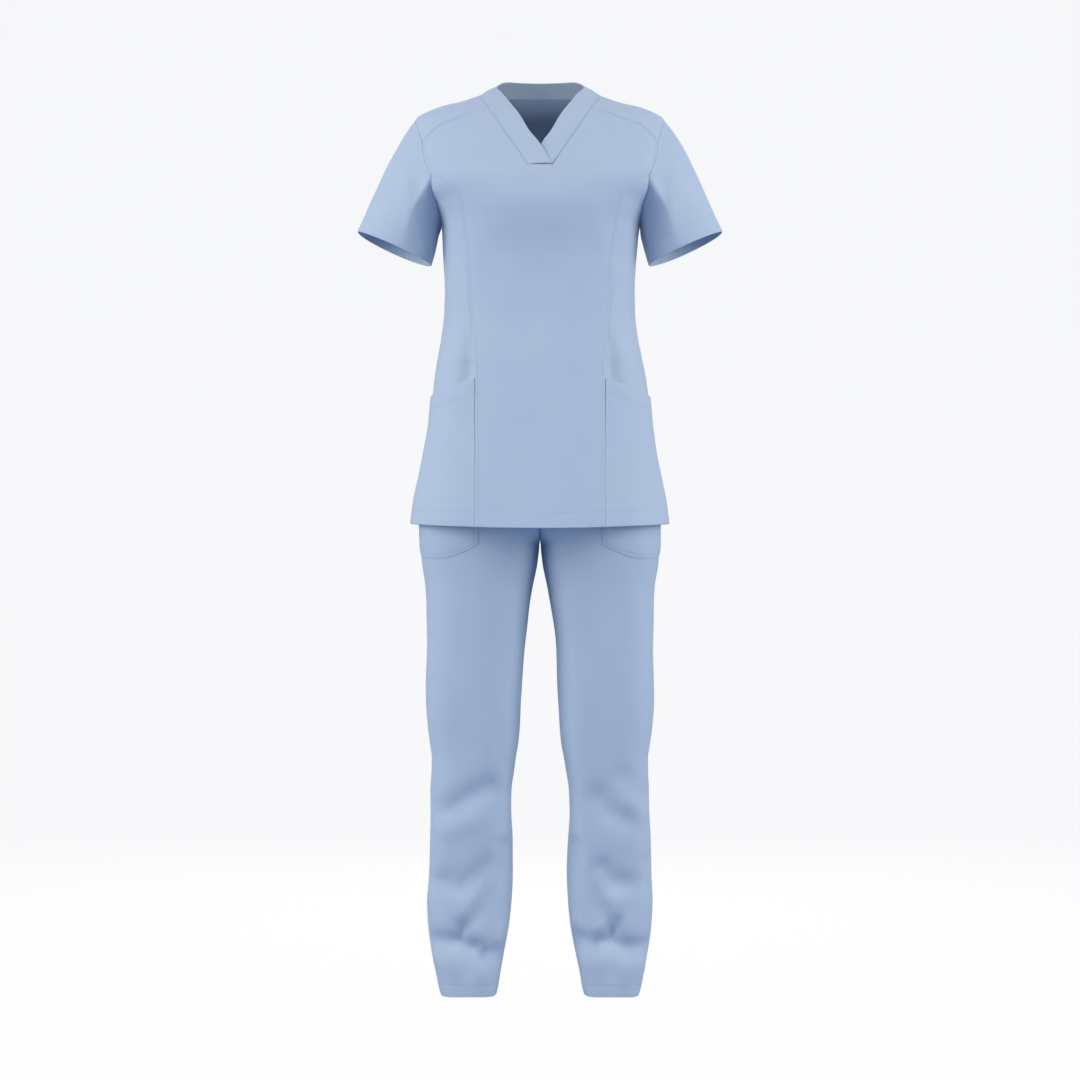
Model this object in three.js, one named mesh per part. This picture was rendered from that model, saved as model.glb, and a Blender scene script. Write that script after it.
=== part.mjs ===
// A medical scrubs set, hollow as when worn: a V-neck tunic with short sleeves over straight trousers.
// Millimetres, +Z up. The front faces -Y and the wearer's left is at +X.
// The origin is in the hollow of the neck, level with the shoulders, where the wearer holds the tunic up.
// Each cut piece is a thin wall. Its outer face lies on a smooth form: the tunic, a leg, a sleeve or the
// neck band. Neighbours share the points of their seam, and each stops half a seam gap short of it.

import * as THREE from "three";

// Cloth
const CLOTH = 1.5;
const BAND_CLOTH = 1.8;
const SEAM_GAP = 0.32;
const BAND_SEAM_GAP = 0.24;
const SQUARENESS = 0.03;

// Tunic, by height: half width, and depth in front of and behind the side seams
const TUNIC_FORM = table("z halfWidth front back", [
  [-694, 206.4, 151, 141],
  [-662, 202.6, 147, 139.5],
  [-614, 193.5, 141, 138],
  [-570, 184.5, 136, 134],
  [-525, 177.5, 131, 128],
  [-486, 173, 127, 121],
  [-446, 168.3, 122.5, 112],
  [-413, 162.4, 118.5, 104],
  [-384, 156.8, 115, 97.5],
  [-350, 152.8, 112.5, 93],
  [-307, 152, 112.5, 92],
  [-272, 153.3, 116, 95],
  [-246, 155.2, 121.5, 99],
  [-213, 158, 131, 105],
  [-182, 171, 137, 109],
  [-146, 199, 132, 112],
  [-115, 206, 116, 111],
  [-78, 201, 89, 104],
  [-36.5, 198, 60, 88],
  [-27.8, 184, 50, 83],
  [-19.6, 163, 39, 79],
  [-13.3, 138, 30, 77],
  [-8, 120, 24, 76],
  [2.5, 93, 13, 75],
  [14, 78, 8, 75],
]);
const HEM_HEIGHT = -685;
const HEM_DIP = 7;
const ARMPIT_HEIGHT = -213;
const SHOULDER_TIP = { x: 198, z: -36.5 };
const NECK_POINT = { x: 91, z: 3.2 };
const BACK_NECK_RISE = 4;

// Where the pocket mouth meets the princess seam
const POCKET_MOUTH = { x: 102, z: -458.5 };

// Seams on the front of the tunic, from their lower end
const PRINCESS_BELOW_POCKET = table("x z", [
  [101, -691],
  [101, -666],
  [100.6, -592],
  [102, -522],
  [POCKET_MOUTH.x, POCKET_MOUTH.z],
]);
const PRINCESS_ABOVE_POCKET = table("x z", [
  [POCKET_MOUTH.x, POCKET_MOUTH.z],
  [104, -420],
  [109, -354],
  [112, -325],
  [114.5, -260],
  [118.5, -238],
  [122, -213],
  [125, -190],
  [129, -175],
  [138, -160],
  [152, -148],
  [171, -137],
]);
const YOKE_SEAM = table("x z", [
  [187, -78],
  [181, -73],
  [169, -61.5],
  [153.5, -52],
  [131, -45],
  [106, -35],
  [79, -31.5],
]);
const NECK_SEAM_LOW = table("x z", [
  [20.2, -129],
  [37.3, -98.1],
  [56.3, -67.6],
  [79, -31.5],
]);
const NECK_SEAM_HIGH = table("x z", [
  [79, -31.5],
  [88.5, -8],
  [NECK_POINT.x, NECK_POINT.z],
]);

// Armhole seam, in degrees round the tunic from the middle of the front
const ARMHOLE_UNDER = table("angle z", [
  [90, ARMPIT_HEIGHT],
  [79, -198],
  [71.5, -182],
  [64.6, -166],
  [59, -150],
  [57.6, -137],
]);
const ARMHOLE_CHEST = table("angle z", [
  [57.6, -137],
  [59.8, -115],
  [68.5, -78],
]);
const ARMHOLE_YOKE = table("angle z", [
  [68.5, -78],
  [76, -57],
  [90, SHOULDER_TIP.z],
]);
const ARMHOLE_BACK = table("angle z", [
  [90, ARMPIT_HEIGHT],
  [103.4, -190],
  [110.4, -170],
  [116.6, -146],
  [118, -115],
  [110.7, -78],
  [90, SHOULDER_TIP.z],
]);

// Sleeve: the top and the underside of its cuff, half its depth, and how roundly it leaves the shoulder
const CUFF_OUTER = { x: 292.5, z: -217.6 };
const CUFF_INNER = { x: 174, z: -270.7 };
const CUFF_DEPTH = 60;
const CUFF_BACK_DROP = 3.5;
const CAP_ROUNDING = 0.62;
const CUFF_ROUNDING = 0.5;
// The slope of the cap's top as it leaves the shoulder tip, and how far round the sleeve it reaches
const CAP_TOP = { x: 0.73, z: -0.71, reach: 0.4 };

// Hip pocket: its mouth drops to the side seam, and stands a little open above a lower edge held in the hem
const POCKET_MOUTH_DROP = 27.5;
const POCKET_SLACK = { most: 3, from: 0.12, to: 0.88 };

// Neck band: the inner edge opposite each point of the neck seam, from the lapped end to the back middle
const BAND_INNER_EDGE = table("x y z", [
  [-18, -121.5, -127.5],
  [1, -102.5, -91.5],
  [17.3, -87.5, -68.5],
  [33, -63, -38.5],
  [51.6, -31, -10.5],
  [59, -18, 0.5],
  [66, -5, 9.5],
  [70, 5, 15],
  [67.5, 20, 22.5],
  [56, 38, 29.5],
  [31, 59, 32.3],
  [0, 67, 33],
]);
const BAND_BOW = 2;
// How far the lower end of the band is tucked behind the upper one: at the seam, the middle and the edge
const LAP_TUCK = table("seam middle edge", [
  [2.4, 2.4, 2.4],
  [0, 2.2, 2.3],
]);

// Trouser leg, by height: outer and inner side, and depth in front of and behind the side seam
const LEG_FORM = table("z outer inner front back", [
  [-1441, 156.5, 72, 74, 82],
  [-1424, 161.6, 67.5, 73, 80],
  [-1402, 166, 64, 72, 78],
  [-1378, 171.2, 59, 71, 76],
  [-1350, 175.8, 53, 69, 74],
  [-1320, 178.7, 48, 67, 73],
  [-1286, 180, 44.8, 66, 72],
  [-1251, 178.4, 43.5, 66, 72],
  [-1187, 176, 44.6, 67, 72],
  [-1146, 175.2, 46.4, 68, 71],
  [-1110, 175, 45.5, 69, 70],
  [-1078, 173.3, 41.5, 70.5, 70],
  [-1058, 173, 38.5, 71.5, 70.5],
  [-1037, 176, 34.5, 72.5, 72],
  [-1006, 179.7, 31.5, 75, 74],
  [-966, 182, 29.8, 78, 77],
  [-870, 181, 24, 84, 85],
  [-818, 181.6, 17.3, 88, 90],
  [-784, 184, 11.5, 91, 94],
  [-746, 189.8, 3.2, 96, 100],
  [-716.5, 191.8, 0.2, 100, 106],
  [-654, 191.2, 0, 108, 115],
  [-614, 185.6, 0, 110, 117],
  [-566, 177.6, 0, 110, 114],
  [-525, 171, 0, 107, 107],
  [-454, 157, 0, 100, 96],
]);
// How far the hem rises at the sides of the leg and in front, and how high up the leg the rise dies out
const LEG_HEM_RISE = { sides: 6, front: 13, reach: 40 };
const CROTCH_HEIGHT = -716.5;
const CROTCH_CURVE = 75;
const MIDDLE_LINE = 96;
const WAIST_TOP = -454;
const TROUSER_POCKET_BOTTOM = -740;
const LEG_ROWS = [
  -1441, -1430, -1414, -1396, -1378, -1361, -1346, -1332, -1318, -1302, -1282, -1260, -1238, -1213, -1187,
  -1159, -1131, -1102, -1070, -1032, -982, -922, -861, -803, -767, TROUSER_POCKET_BOTTOM, CROTCH_HEIGHT,
  -710, -698, -679, CROTCH_HEIGHT + CROTCH_CURVE, -604, -566, -525, -490,
];
const TROUSER_POCKET_ROWS = { bottom: 25, top: 32 };
// How far the pocket's lower edge rises at the side seam and at its inner corner, over what part of the
// panel's width, and how far up and down the rows of the panel follow it
const TROUSER_POCKET_LIFT = { side: 11, sideWidth: 0.25, corner: 22, cornerWidth: 0.2, reach: 30 };
const CORNER_SHARPNESS = 1.5;

// Folds: soft troughs (negative depth) and ridges along a few points of x and z.
// side is -1 for the wearer's right, 1 for the left and 0 for both. face is -1 in front and 1 behind.
const LEG_FOLDS = [
  fold(-1, -1, -6, 15, [[145, -1124], [112, -1104], [82, -1090]]),
  fold(-1, -1, 3, 15, [[148, -1152], [110, -1142]]),
  fold(-1, -1, -5.5, 15, [[146, -1239], [126, -1247], [100, -1228], [80, -1214]]),
  fold(-1, -1, -5, 10, [[56, -1181], [63, -1223], [73, -1249], [88, -1276], [109, -1298], [122, -1313]]),
  fold(-1, -1, -3.5, 9, [[163, -1239], [151, -1271], [136, -1298], [125, -1309]]),
  fold(-1, -1, 4.5, 15, [[122, -1282], [122, -1268]]),
  fold(-1, -1, -9, 12, [[165, -1334], [127, -1330], [102, -1342], [85, -1356], [71, -1352]]),
  fold(-1, -1, -3, 10, [[114, -1349], [112, -1376]]),
  fold(-1, -1, 3.5, 14, [[150, -1368], [84, -1384]]),
  fold(1, -1, -4, 14, [[134, -1070], [148, -1082], [161, -1102]]),
  fold(1, -1, -5, 16, [[92, -1106], [109, -1126], [138, -1140]]),
  fold(1, -1, 3, 12, [[144, -1117], [156, -1130]]),
  fold(1, -1, -5.5, 14, [[97, -1216], [115, -1238], [145, -1241]]),
  fold(1, -1, -5, 10, [[54, -1181], [61, -1218], [73, -1242], [89, -1273], [111, -1298], [115, -1313]]),
  fold(1, -1, -3.5, 9, [[170, -1208], [162, -1242], [150, -1267], [134, -1292], [118, -1311]]),
  fold(1, -1, 4.5, 15, [[121, -1284], [121, -1268]]),
  fold(1, -1, -9, 12, [[60, -1332], [84, -1337], [111, -1325], [134, -1340], [160, -1343]]),
  fold(1, -1, -3, 10, [[110, -1349], [113, -1377]]),
  fold(1, -1, 3.5, 14, [[82, -1368], [150, -1376]]),
  fold(0, 1, -6, 15, [[160, -1068], [118, -1084], [70, -1070]]),
  fold(0, 1, -5, 14, [[66, -1128], [104, -1116], [150, -1132]]),
  fold(0, 1, 3.5, 16, [[82, -1100], [140, -1100]]),
  fold(0, 1, -4.5, 12, [[168, -1236], [134, -1276], [112, -1300]]),
  fold(0, 1, -5, 12, [[60, -1214], [84, -1266], [106, -1300]]),
  fold(0, 1, -8, 13, [[158, -1352], [112, -1336], [74, -1358]]),
  fold(0, 1, -4, 16, [[40, -790], [92, -806], [140, -792]]),
];
const TUNIC_FOLDS = [
  fold(0, -1, -3.2, 11, [[110, -404], [113, -430], [112, -452]]),
  fold(0, -1, 2, 26, [[52, -300], [58, -420]]),
  fold(0, -1, -2.5, 20, [[148, -182], [136, -214], [128, -262]]),
  fold(0, 1, -4, 20, [[62, -286], [56, -348], [66, -420]]),
  fold(0, 1, 3, 20, [[26, -300], [24, -400]]),
  fold(0, 1, -4, 18, [[128, -196], [112, -238], [98, -284]]),
  fold(0, 1, -3.5, 16, [[142, -330], [104, -338], [84, -352]]),
];
// Folds fade out over this distance from the side seams
const FOLD_FADE = 34;

// Columns and rows of each panel
const COUNT = { yoke: 5, neckLow: 4, neckFlat: 2, neckHigh: 3, neckBack: 4, side: 6 };
const ROWS = { pocket: 7, abovePocket: 10, chest: 3, armholeBack: 8, sleeve: 8, band: 2, waistband: 2 };
const LEG_COLUMNS = { front: 6, back: 4 };

const CLOTH_COLOURS = { tunic: 0xa9bdd6, band: 0xadc1d9, trousers: 0x93aecf };
const SURFACE = { roughness: 0.88, metalness: 0, side: THREE.DoubleSide };

function table(columns, rows) {
  const names = columns.split(" ");
  return rows.map((row) => Object.fromEntries(names.map((name, i) => [name, row[i]])));
}

function fold(side, face, depth, width, path) {
  return { side, face, depth, width, path };
}

// Smooth columns of a table over z, with no overshoot between its rows
function smoothForm(rows) {
  const names = Object.keys(rows[0]).filter((name) => name !== "z");
  const steps = rows.slice(1).map((row, i) => row.z - rows[i].z);
  const slopes = {};
  for (const name of names) {
    const rises = steps.map((step, i) => (rows[i + 1][name] - rows[i][name]) / step);
    slopes[name] = rows.map((row, i) => {
      const before = rises[Math.max(i - 1, 0)];
      const after = rises[Math.min(i, rises.length - 1)];
      return before * after > 0 ? (2 * before * after) / (before + after) : 0;
    });
  }
  return (z) => {
    const height = THREE.MathUtils.clamp(z, rows[0].z, rows.at(-1).z);
    const above = Math.max(1, rows.findIndex((row) => row.z >= height));
    const below = above - 1;
    const step = steps[below];
    const t = (height - rows[below].z) / step;
    const values = {};
    for (const name of names) {
      const start = rows[below][name];
      const end = rows[above][name];
      values[name] =
        start * (1 + 2 * t) * (1 - t) ** 2 +
        end * (3 - 2 * t) * t ** 2 +
        step * slopes[name][below] * t * (1 - t) ** 2 -
        step * slopes[name][above] * (1 - t) * t ** 2;
    }
    return values;
  };
}

const tunicAt = smoothForm(TUNIC_FORM);
const legAt = smoothForm(LEG_FORM);

function squared(angle) {
  return 1 + SQUARENESS * Math.sin(2 * angle) ** 2;
}

function distanceToPath(x, z, path) {
  let nearest = Infinity;
  for (let i = 1; i < path.length; i++) {
    const [x0, z0] = path[i - 1];
    const [x1, z1] = path[i];
    const length2 = (x1 - x0) ** 2 + (z1 - z0) ** 2;
    const along = ((x - x0) * (x1 - x0) + (z - z0) * (z1 - z0)) / length2;
    const t = THREE.MathUtils.clamp(along, 0, 1);
    nearest = Math.min(nearest, Math.hypot(x - x0 - t * (x1 - x0), z - z0 - t * (z1 - z0)));
  }
  return nearest;
}

// How far the folds push the cloth out at a point, fading out before the side seams
function foldDepth(folds, side, point) {
  let depth = 0;
  for (const { side: foldSide, face, depth: foldDepthHere, width, path } of folds) {
    if (foldSide !== 0 && foldSide !== side) continue;
    const facing = THREE.MathUtils.smoothstep((point.y * face) / FOLD_FADE, 0, 1);
    const distance = distanceToPath(Math.abs(point.x), point.z, path);
    depth += foldDepthHere * facing * Math.exp(-((distance / width) ** 2));
  }
  return depth;
}

// The outward unit normal of a form at (angle, z)
function formNormal(form, angle, z) {
  const TURN = 0.004;
  const RISE = 0.25;
  const along = form(angle + TURN, z).sub(form(angle - TURN, z));
  const up = form(angle, z + RISE).sub(form(angle, z - RISE));
  return along.cross(up).normalize();
}

function tunicForm(angle, z) {
  const { halfWidth, front, back } = tunicAt(z);
  const depth = Math.cos(angle) >= 0 ? front : back;
  const size = squared(angle);
  return new THREE.Vector3(halfWidth * Math.sin(angle) * size, -depth * Math.cos(angle) * size, z);
}

// Where a leg panel meets the centre seam: the crotch curve runs from the inseam round to the front or back
function centreAngle(z) {
  const rise = THREE.MathUtils.clamp((z - CROTCH_HEIGHT) / CROTCH_CURVE, 0, 1);
  return Math.acos(rise - 1);
}

function legOval(z) {
  const { outer, inner, front, back } = legAt(z);
  const end = centreAngle(z);
  const halfWidth = (outer - inner) / (1 - Math.cos(end) * squared(end));
  return { centre: outer - halfWidth, halfWidth, front, back };
}

// angle 0 is the side seam and 180 degrees the inseam, negative in front
function leftLegForm(angle, z) {
  const { centre, halfWidth, front, back } = legOval(z);
  const depth = angle <= 0 ? front : back;
  const size = squared(angle);
  return new THREE.Vector3(centre + halfWidth * Math.cos(angle) * size, depth * Math.sin(angle) * size, z);
}

// The angle of the line down the middle of a leg, straight above the crotch
function middleAngle(z) {
  const { centre, halfWidth } = legOval(z);
  return z <= CROTCH_HEIGHT ? Math.PI / 2 : Math.acos((MIDDLE_LINE - centre) / halfWidth);
}

// A form with its folds
function folded(form, folds, side) {
  return (angle, z) => {
    const point = form(angle, z);
    const depth = foldDepth(folds, side, point);
    return depth === 0 ? point : point.addScaledVector(formNormal(form, angle, z), depth);
  };
}

const tunic = folded(tunicForm, TUNIC_FOLDS, 0);
const legs = { "-1": folded(leftLegForm, LEG_FOLDS, -1), 1: folded(leftLegForm, LEG_FOLDS, 1) };

// The angle at which the front of the tunic is x wide of the middle
function frontAngle(x, z) {
  const { halfWidth } = tunicAt(z);
  let low = 0;
  let high = Math.PI / 2;
  for (let i = 0; i < 40; i++) {
    const angle = (low + high) / 2;
    if (halfWidth * Math.sin(angle) * squared(angle) < x) low = angle;
    else high = angle;
  }
  return (low + high) / 2;
}

// The height at which the shoulder ridge is x wide of the middle
function ridgeHeight(x) {
  let low = SHOULDER_TIP.z;
  let high = TUNIC_FORM.at(-1).z;
  for (let i = 0; i < 40; i++) {
    const z = (low + high) / 2;
    if (tunicAt(z).halfWidth > x) low = z;
    else high = z;
  }
  return (low + high) / 2;
}

// Evenly spaced points of a seam on the tunic, from rows of x and z or of degrees and z
function seam(rows, count) {
  const MM_PER_DEGREE = 3;
  const byAngle = "angle" in rows[0];
  const across = rows.map((row) => (byAngle ? row.angle * MM_PER_DEGREE : row.x));
  const curve = new THREE.SplineCurve(rows.map((row, i) => new THREE.Vector2(across[i], row.z)));
  return curve.getSpacedPoints(count).map(({ x, y: z }) => {
    const angle = byAngle ? THREE.MathUtils.degToRad(x / MM_PER_DEGREE) : frontAngle(x, z);
    return { angle, z };
  });
}

function hemHeight(angle) {
  return HEM_HEIGHT - HEM_DIP * Math.cos(angle) ** 2;
}

function hemLine(from, to, count) {
  return span(count).map((t) => {
    const angle = from + (to - from) * t;
    return { angle, z: hemHeight(angle) };
  });
}

function span(count) {
  return Array.from({ length: count + 1 }, (_, i) => i / count);
}

function joined(...seams) {
  return seams.flatMap((points, i) => (i === 0 ? points : points.slice(1)));
}

function mirrored(seamPoints) {
  return seamPoints.map(({ angle, z }) => ({ angle: -angle, z }));
}

// The point of a form nearest a target, by a few steps from a guess
function nearestOnForm(form, target, guess) {
  const STEPS = 12;
  const TURN = 0.002;
  const RISE = 0.1;
  const MOST = { turn: 0.2, rise: 12 };
  let { angle, z } = guess;
  for (let i = 0; i < STEPS; i++) {
    const along = form(angle + TURN, z).sub(form(angle - TURN, z)).divideScalar(2 * TURN);
    const up = form(angle, z + RISE).sub(form(angle, z - RISE)).divideScalar(2 * RISE);
    const miss = target.clone().sub(form(angle, z));
    const cross = along.dot(up);
    const size = along.lengthSq() * up.lengthSq() - cross ** 2;
    const turn = (miss.dot(along) * up.lengthSq() - miss.dot(up) * cross) / size;
    const rise = (miss.dot(up) * along.lengthSq() - miss.dot(along) * cross) / size;
    angle += THREE.MathUtils.clamp(turn, -MOST.turn, MOST.turn);
    z += THREE.MathUtils.clamp(rise, -MOST.rise, MOST.rise);
  }
  return { angle, z };
}

// Fills a four-sided outline on the tunic: rows run from left to right, the first along the bottom.
// Inner points are blended from the sides in space, then moved to the nearest point of the tunic.
function patch(bottom, top, left, right) {
  const columns = bottom.length - 1;
  const rows = left.length - 1;
  const blend = (i, j, value) => {
    const u = i / columns;
    const v = j / rows;
    const sides =
      (1 - v) * value(bottom[i]) + v * value(top[i]) + (1 - u) * value(left[j]) + u * value(right[j]);
    const low = (1 - u) * value(bottom[0]) + u * value(bottom[columns]);
    const high = (1 - u) * value(top[0]) + u * value(top[columns]);
    return sides - (1 - v) * low - v * high;
  };
  return left.map((leftPoint, j) =>
    bottom.map((bottomPoint, i) => {
      if (j === 0) return bottomPoint;
      if (j === rows) return top[i];
      if (i === 0) return leftPoint;
      if (i === columns) return right[j];
      const place = (axis) => blend(i, j, (p) => tunicForm(p.angle, p.z)[axis]);
      const target = new THREE.Vector3(place("x"), place("y"), place("z"));
      const guess = { angle: blend(i, j, (p) => p.angle), z: blend(i, j, (p) => p.z) };
      return nearestOnForm(tunicForm, target, guess);
    }),
  );
}

// Outer points and outward normals of a grid of a form
function onForm(form, grid, offset = () => 0) {
  return grid.map((row, j) =>
    row.map(({ angle, z }, i) => {
      const normal = formNormal(form, angle, z);
      return { point: form(angle, z).addScaledVector(normal, offset(i, j)), normal };
    }),
  );
}

// Moves the edge points of a grid half a seam gap inwards, square to the edge
function trimEdges(grid, inset = SEAM_GAP / 2) {
  const rows = grid.length - 1;
  const columns = grid[0].length - 1;
  const moved = grid.map((row) => row.map(({ point, normal }) => ({ point: point.clone(), normal })));
  const pull = (j, i, inwardJ, inwardI, alongJ, alongI) => {
    const at = (row, column) =>
      grid[THREE.MathUtils.clamp(row, 0, rows)][THREE.MathUtils.clamp(column, 0, columns)].point;
    const edge = at(j + alongJ, i + alongI).clone().sub(at(j - alongJ, i - alongI)).normalize();
    const inward = at(j + inwardJ, i + inwardI).clone().sub(grid[j][i].point);
    inward.addScaledVector(edge, -inward.dot(edge)).normalize();
    moved[j][i].point.addScaledVector(inward, inset);
  };
  for (let i = 0; i <= columns; i++) {
    pull(0, i, 1, 0, 0, 1);
    pull(rows, i, -1, 0, 0, 1);
  }
  for (let j = 0; j <= rows; j++) {
    pull(j, 0, 0, 1, 1, 0);
    pull(j, columns, 0, -1, 1, 0);
  }
  return moved;
}

// A closed wall over a grid of outer points. A ring joins its last column to its first.
function wall(grid, { thickness = CLOTH, ring = false } = {}) {
  const rows = grid.length;
  const columns = grid[0].length;
  const points = grid.flat();
  const inner = points.map(({ point, normal, inward }) =>
    point.clone().add(inward ?? normal.clone().multiplyScalar(-thickness)),
  );
  const vertices = [...points.map(({ point }) => point), ...inner];
  const under = points.length;
  const triangles = [];
  const quad = (a, b, c, d) => triangles.push(a, b, c, a, c, d);
  const apart = (a, b) => vertices[a].distanceTo(vertices[b]);
  const index = (j, i) => j * columns + (i % columns);
  const lastColumn = ring ? columns : columns - 1;
  for (let j = 0; j < rows - 1; j++) {
    for (let i = 0; i < lastColumn; i++) {
      const [a, b, c, d] = [index(j, i), index(j, i + 1), index(j + 1, i + 1), index(j + 1, i)];
      const [p, q, r, s] = apart(a, c) < apart(b, d) ? [a, b, c, d] : [b, c, d, a];
      quad(p, q, r, s);
      quad(under + p, under + s, under + r, under + q);
    }
  }
  const rim = (a, b) => quad(b, a, under + a, under + b);
  for (let i = 0; i < lastColumn; i++) {
    rim(index(0, i), index(0, i + 1));
    rim(index(rows - 1, i + 1), index(rows - 1, i));
  }
  if (!ring) {
    for (let j = 0; j < rows - 1; j++) {
      rim(index(j + 1, 0), index(j, 0));
      rim(index(j, columns - 1), index(j + 1, columns - 1));
    }
  }
  const geometry = new THREE.BufferGeometry();
  const coordinates = vertices.flatMap((vertex) => vertex.toArray());
  geometry.setAttribute("position", new THREE.Float32BufferAttribute(coordinates, 3));
  geometry.setIndex(triangles);
  return geometry;
}

// The same piece for the other side
function acrossBody(geometry) {
  const copy = geometry.clone().scale(-1, 1, 1);
  const corners = copy.index.array;
  for (let i = 0; i < corners.length; i += 3) {
    [corners[i], corners[i + 1]] = [corners[i + 1], corners[i]];
  }
  return copy;
}

const scrubs = new THREE.Group();
scrubs.name = "scrubs_set";

function addPiece(name, geometry, colour) {
  geometry.computeVertexNormals();
  const material = new THREE.MeshStandardMaterial({ color: colour, ...SURFACE });
  const mesh = new THREE.Mesh(geometry, material);
  mesh.name = name;
  scrubs.add(mesh);
}

function addPair(name, geometry, colour) {
  addPiece(name + "_left", geometry, colour);
  addPiece(name + "_right", acrossBody(geometry), colour);
}

// Tunic seams on the wearer's left, as lists of shared points
const princess = joined(
  seam(PRINCESS_BELOW_POCKET, ROWS.pocket),
  seam(PRINCESS_ABOVE_POCKET, ROWS.abovePocket),
);
const sidePocketTop = POCKET_MOUTH.z - POCKET_MOUTH_DROP;
const sideSeam = joined(
  span(ROWS.pocket).map((t) => ({ angle: Math.PI / 2, z: HEM_HEIGHT + (sidePocketTop - HEM_HEIGHT) * t })),
  span(ROWS.abovePocket).map((t) => ({
    angle: Math.PI / 2,
    z: sidePocketTop + (ARMPIT_HEIGHT - sidePocketTop) * t,
  })),
);
const yokeSeam = seam(YOKE_SEAM, COUNT.yoke);
const chestCorner = princess.at(-1);
const yokeCorner = yokeSeam[0];
const armholeUnder = [...seam(ARMHOLE_UNDER, COUNT.side).slice(0, -1), chestCorner];
const armholeChest = [chestCorner, ...seam(ARMHOLE_CHEST, ROWS.chest).slice(1, -1), yokeCorner];
const armholeYoke = [yokeCorner, ...seam(ARMHOLE_YOKE, COUNT.neckHigh).slice(1)];
const armholeBack = seam(ARMHOLE_BACK, ROWS.armholeBack);
const neckLow = seam(NECK_SEAM_LOW, COUNT.neckLow);
const shoulderSeam = span(COUNT.yoke).map((t) => ({
  angle: Math.PI / 2,
  z: ridgeHeight(SHOULDER_TIP.x + (NECK_POINT.x - SHOULDER_TIP.x) * t),
}));
shoulderSeam[0].z = SHOULDER_TIP.z;
shoulderSeam.at(-1).z = NECK_POINT.z;
const neckHigh = [...seam(NECK_SEAM_HIGH, COUNT.neckHigh).slice(0, -1), shoulderSeam.at(-1)];
const backNeck = span(COUNT.neckBack).map((t) => ({
  angle: (Math.PI / 2) * (1 + t),
  z: NECK_POINT.z + BACK_NECK_RISE * Math.sin((Math.PI / 2) * t) ** 2,
}));

function frontCentrePanel() {
  const leftSide = joined(princess, armholeChest);
  const half = joined(yokeSeam, neckLow.toReversed());
  const corner = neckLow[0];
  const flat = span(COUNT.neckFlat).map((t) => ({ angle: corner.angle * (1 - 2 * t), z: corner.z }));
  const top = joined(half, flat, mirrored(half).toReversed());
  const edge = princess[0].angle;
  const bottom = hemLine(edge, -edge, top.length - 1);
  bottom[0].z = princess[0].z;
  bottom.at(-1).z = princess[0].z;
  const grid = patch(bottom, top, leftSide, mirrored(leftSide));
  return wall(trimEdges(onForm(tunic, grid.map((row) => row.toReversed()))));
}

// From the princess seam, on its left, to the side seam
function frontSideGrid() {
  const bottom = hemLine(princess[0].angle, Math.PI / 2, COUNT.side);
  bottom[0].z = princess[0].z;
  return patch(bottom, armholeUnder.toReversed(), princess, sideSeam);
}

function hipPocketWall() {
  const grid = frontSideGrid().slice(0, ROWS.pocket + 1);
  const slack = (i, j) => {
    const up = j / ROWS.pocket;
    const across = i / COUNT.side;
    const swell = Math.sin(Math.PI * THREE.MathUtils.lerp(POCKET_SLACK.from, POCKET_SLACK.to, across));
    return CLOTH + SEAM_GAP + POCKET_SLACK.most * up ** 2 * swell;
  };
  return wall(trimEdges(onForm(tunic, grid, slack)));
}

function yokePanel() {
  const grid = patch(yokeSeam, shoulderSeam, armholeYoke, neckHigh);
  return wall(trimEdges(onForm(tunic, grid.map((row) => row.toReversed()))));
}

function backPanel() {
  const turned = (points) => points.map(({ angle, z }) => ({ angle: 2 * Math.PI - angle, z }));
  const left = joined(sideSeam, armholeBack);
  const half = joined(shoulderSeam, backNeck);
  const top = joined(half, turned(half).toReversed());
  const bottom = hemLine(Math.PI / 2, (3 * Math.PI) / 2, top.length - 1);
  return wall(trimEdges(onForm(tunic, patch(bottom, top, left, turned(left)))));
}

// The armhole as a ring of points from the armpit up the front, over the shoulder and down the back.
// away is the direction in the tunic's surface that leaves the tunic.
function armholeRing() {
  const front = joined(armholeUnder, armholeChest, armholeYoke);
  const loop = joined(front, armholeBack.toReversed()).slice(0, -1);
  const points = loop.map(({ angle, z }) => ({
    point: tunic(angle, z),
    normal: formNormal(tunic, angle, z),
  }));
  const count = points.length;
  points.forEach((ringPoint, k) => {
    const next = points[(k + 1) % count].point;
    const previous = points[(k + count - 1) % count].point;
    const along = next.clone().sub(previous);
    ringPoint.away = along.cross(ringPoint.normal).normalize();
  });
  return { points, tip: front.length - 1 };
}

// How far round the sleeve each ring point is, from 0 at the shoulder to 1 at the underarm
function sleeveFractions(points, tip) {
  const count = points.length;
  const lengths = points.map(({ point }, k) => point.distanceTo(points[(k + 1) % count].point));
  const sum = (from, to) => lengths.slice(from, to).reduce((total, length) => total + length, 0);
  return points.map((_, k) => (k <= tip ? sum(k, tip) / sum(0, tip) : sum(tip, k) / sum(tip, count)));
}

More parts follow.
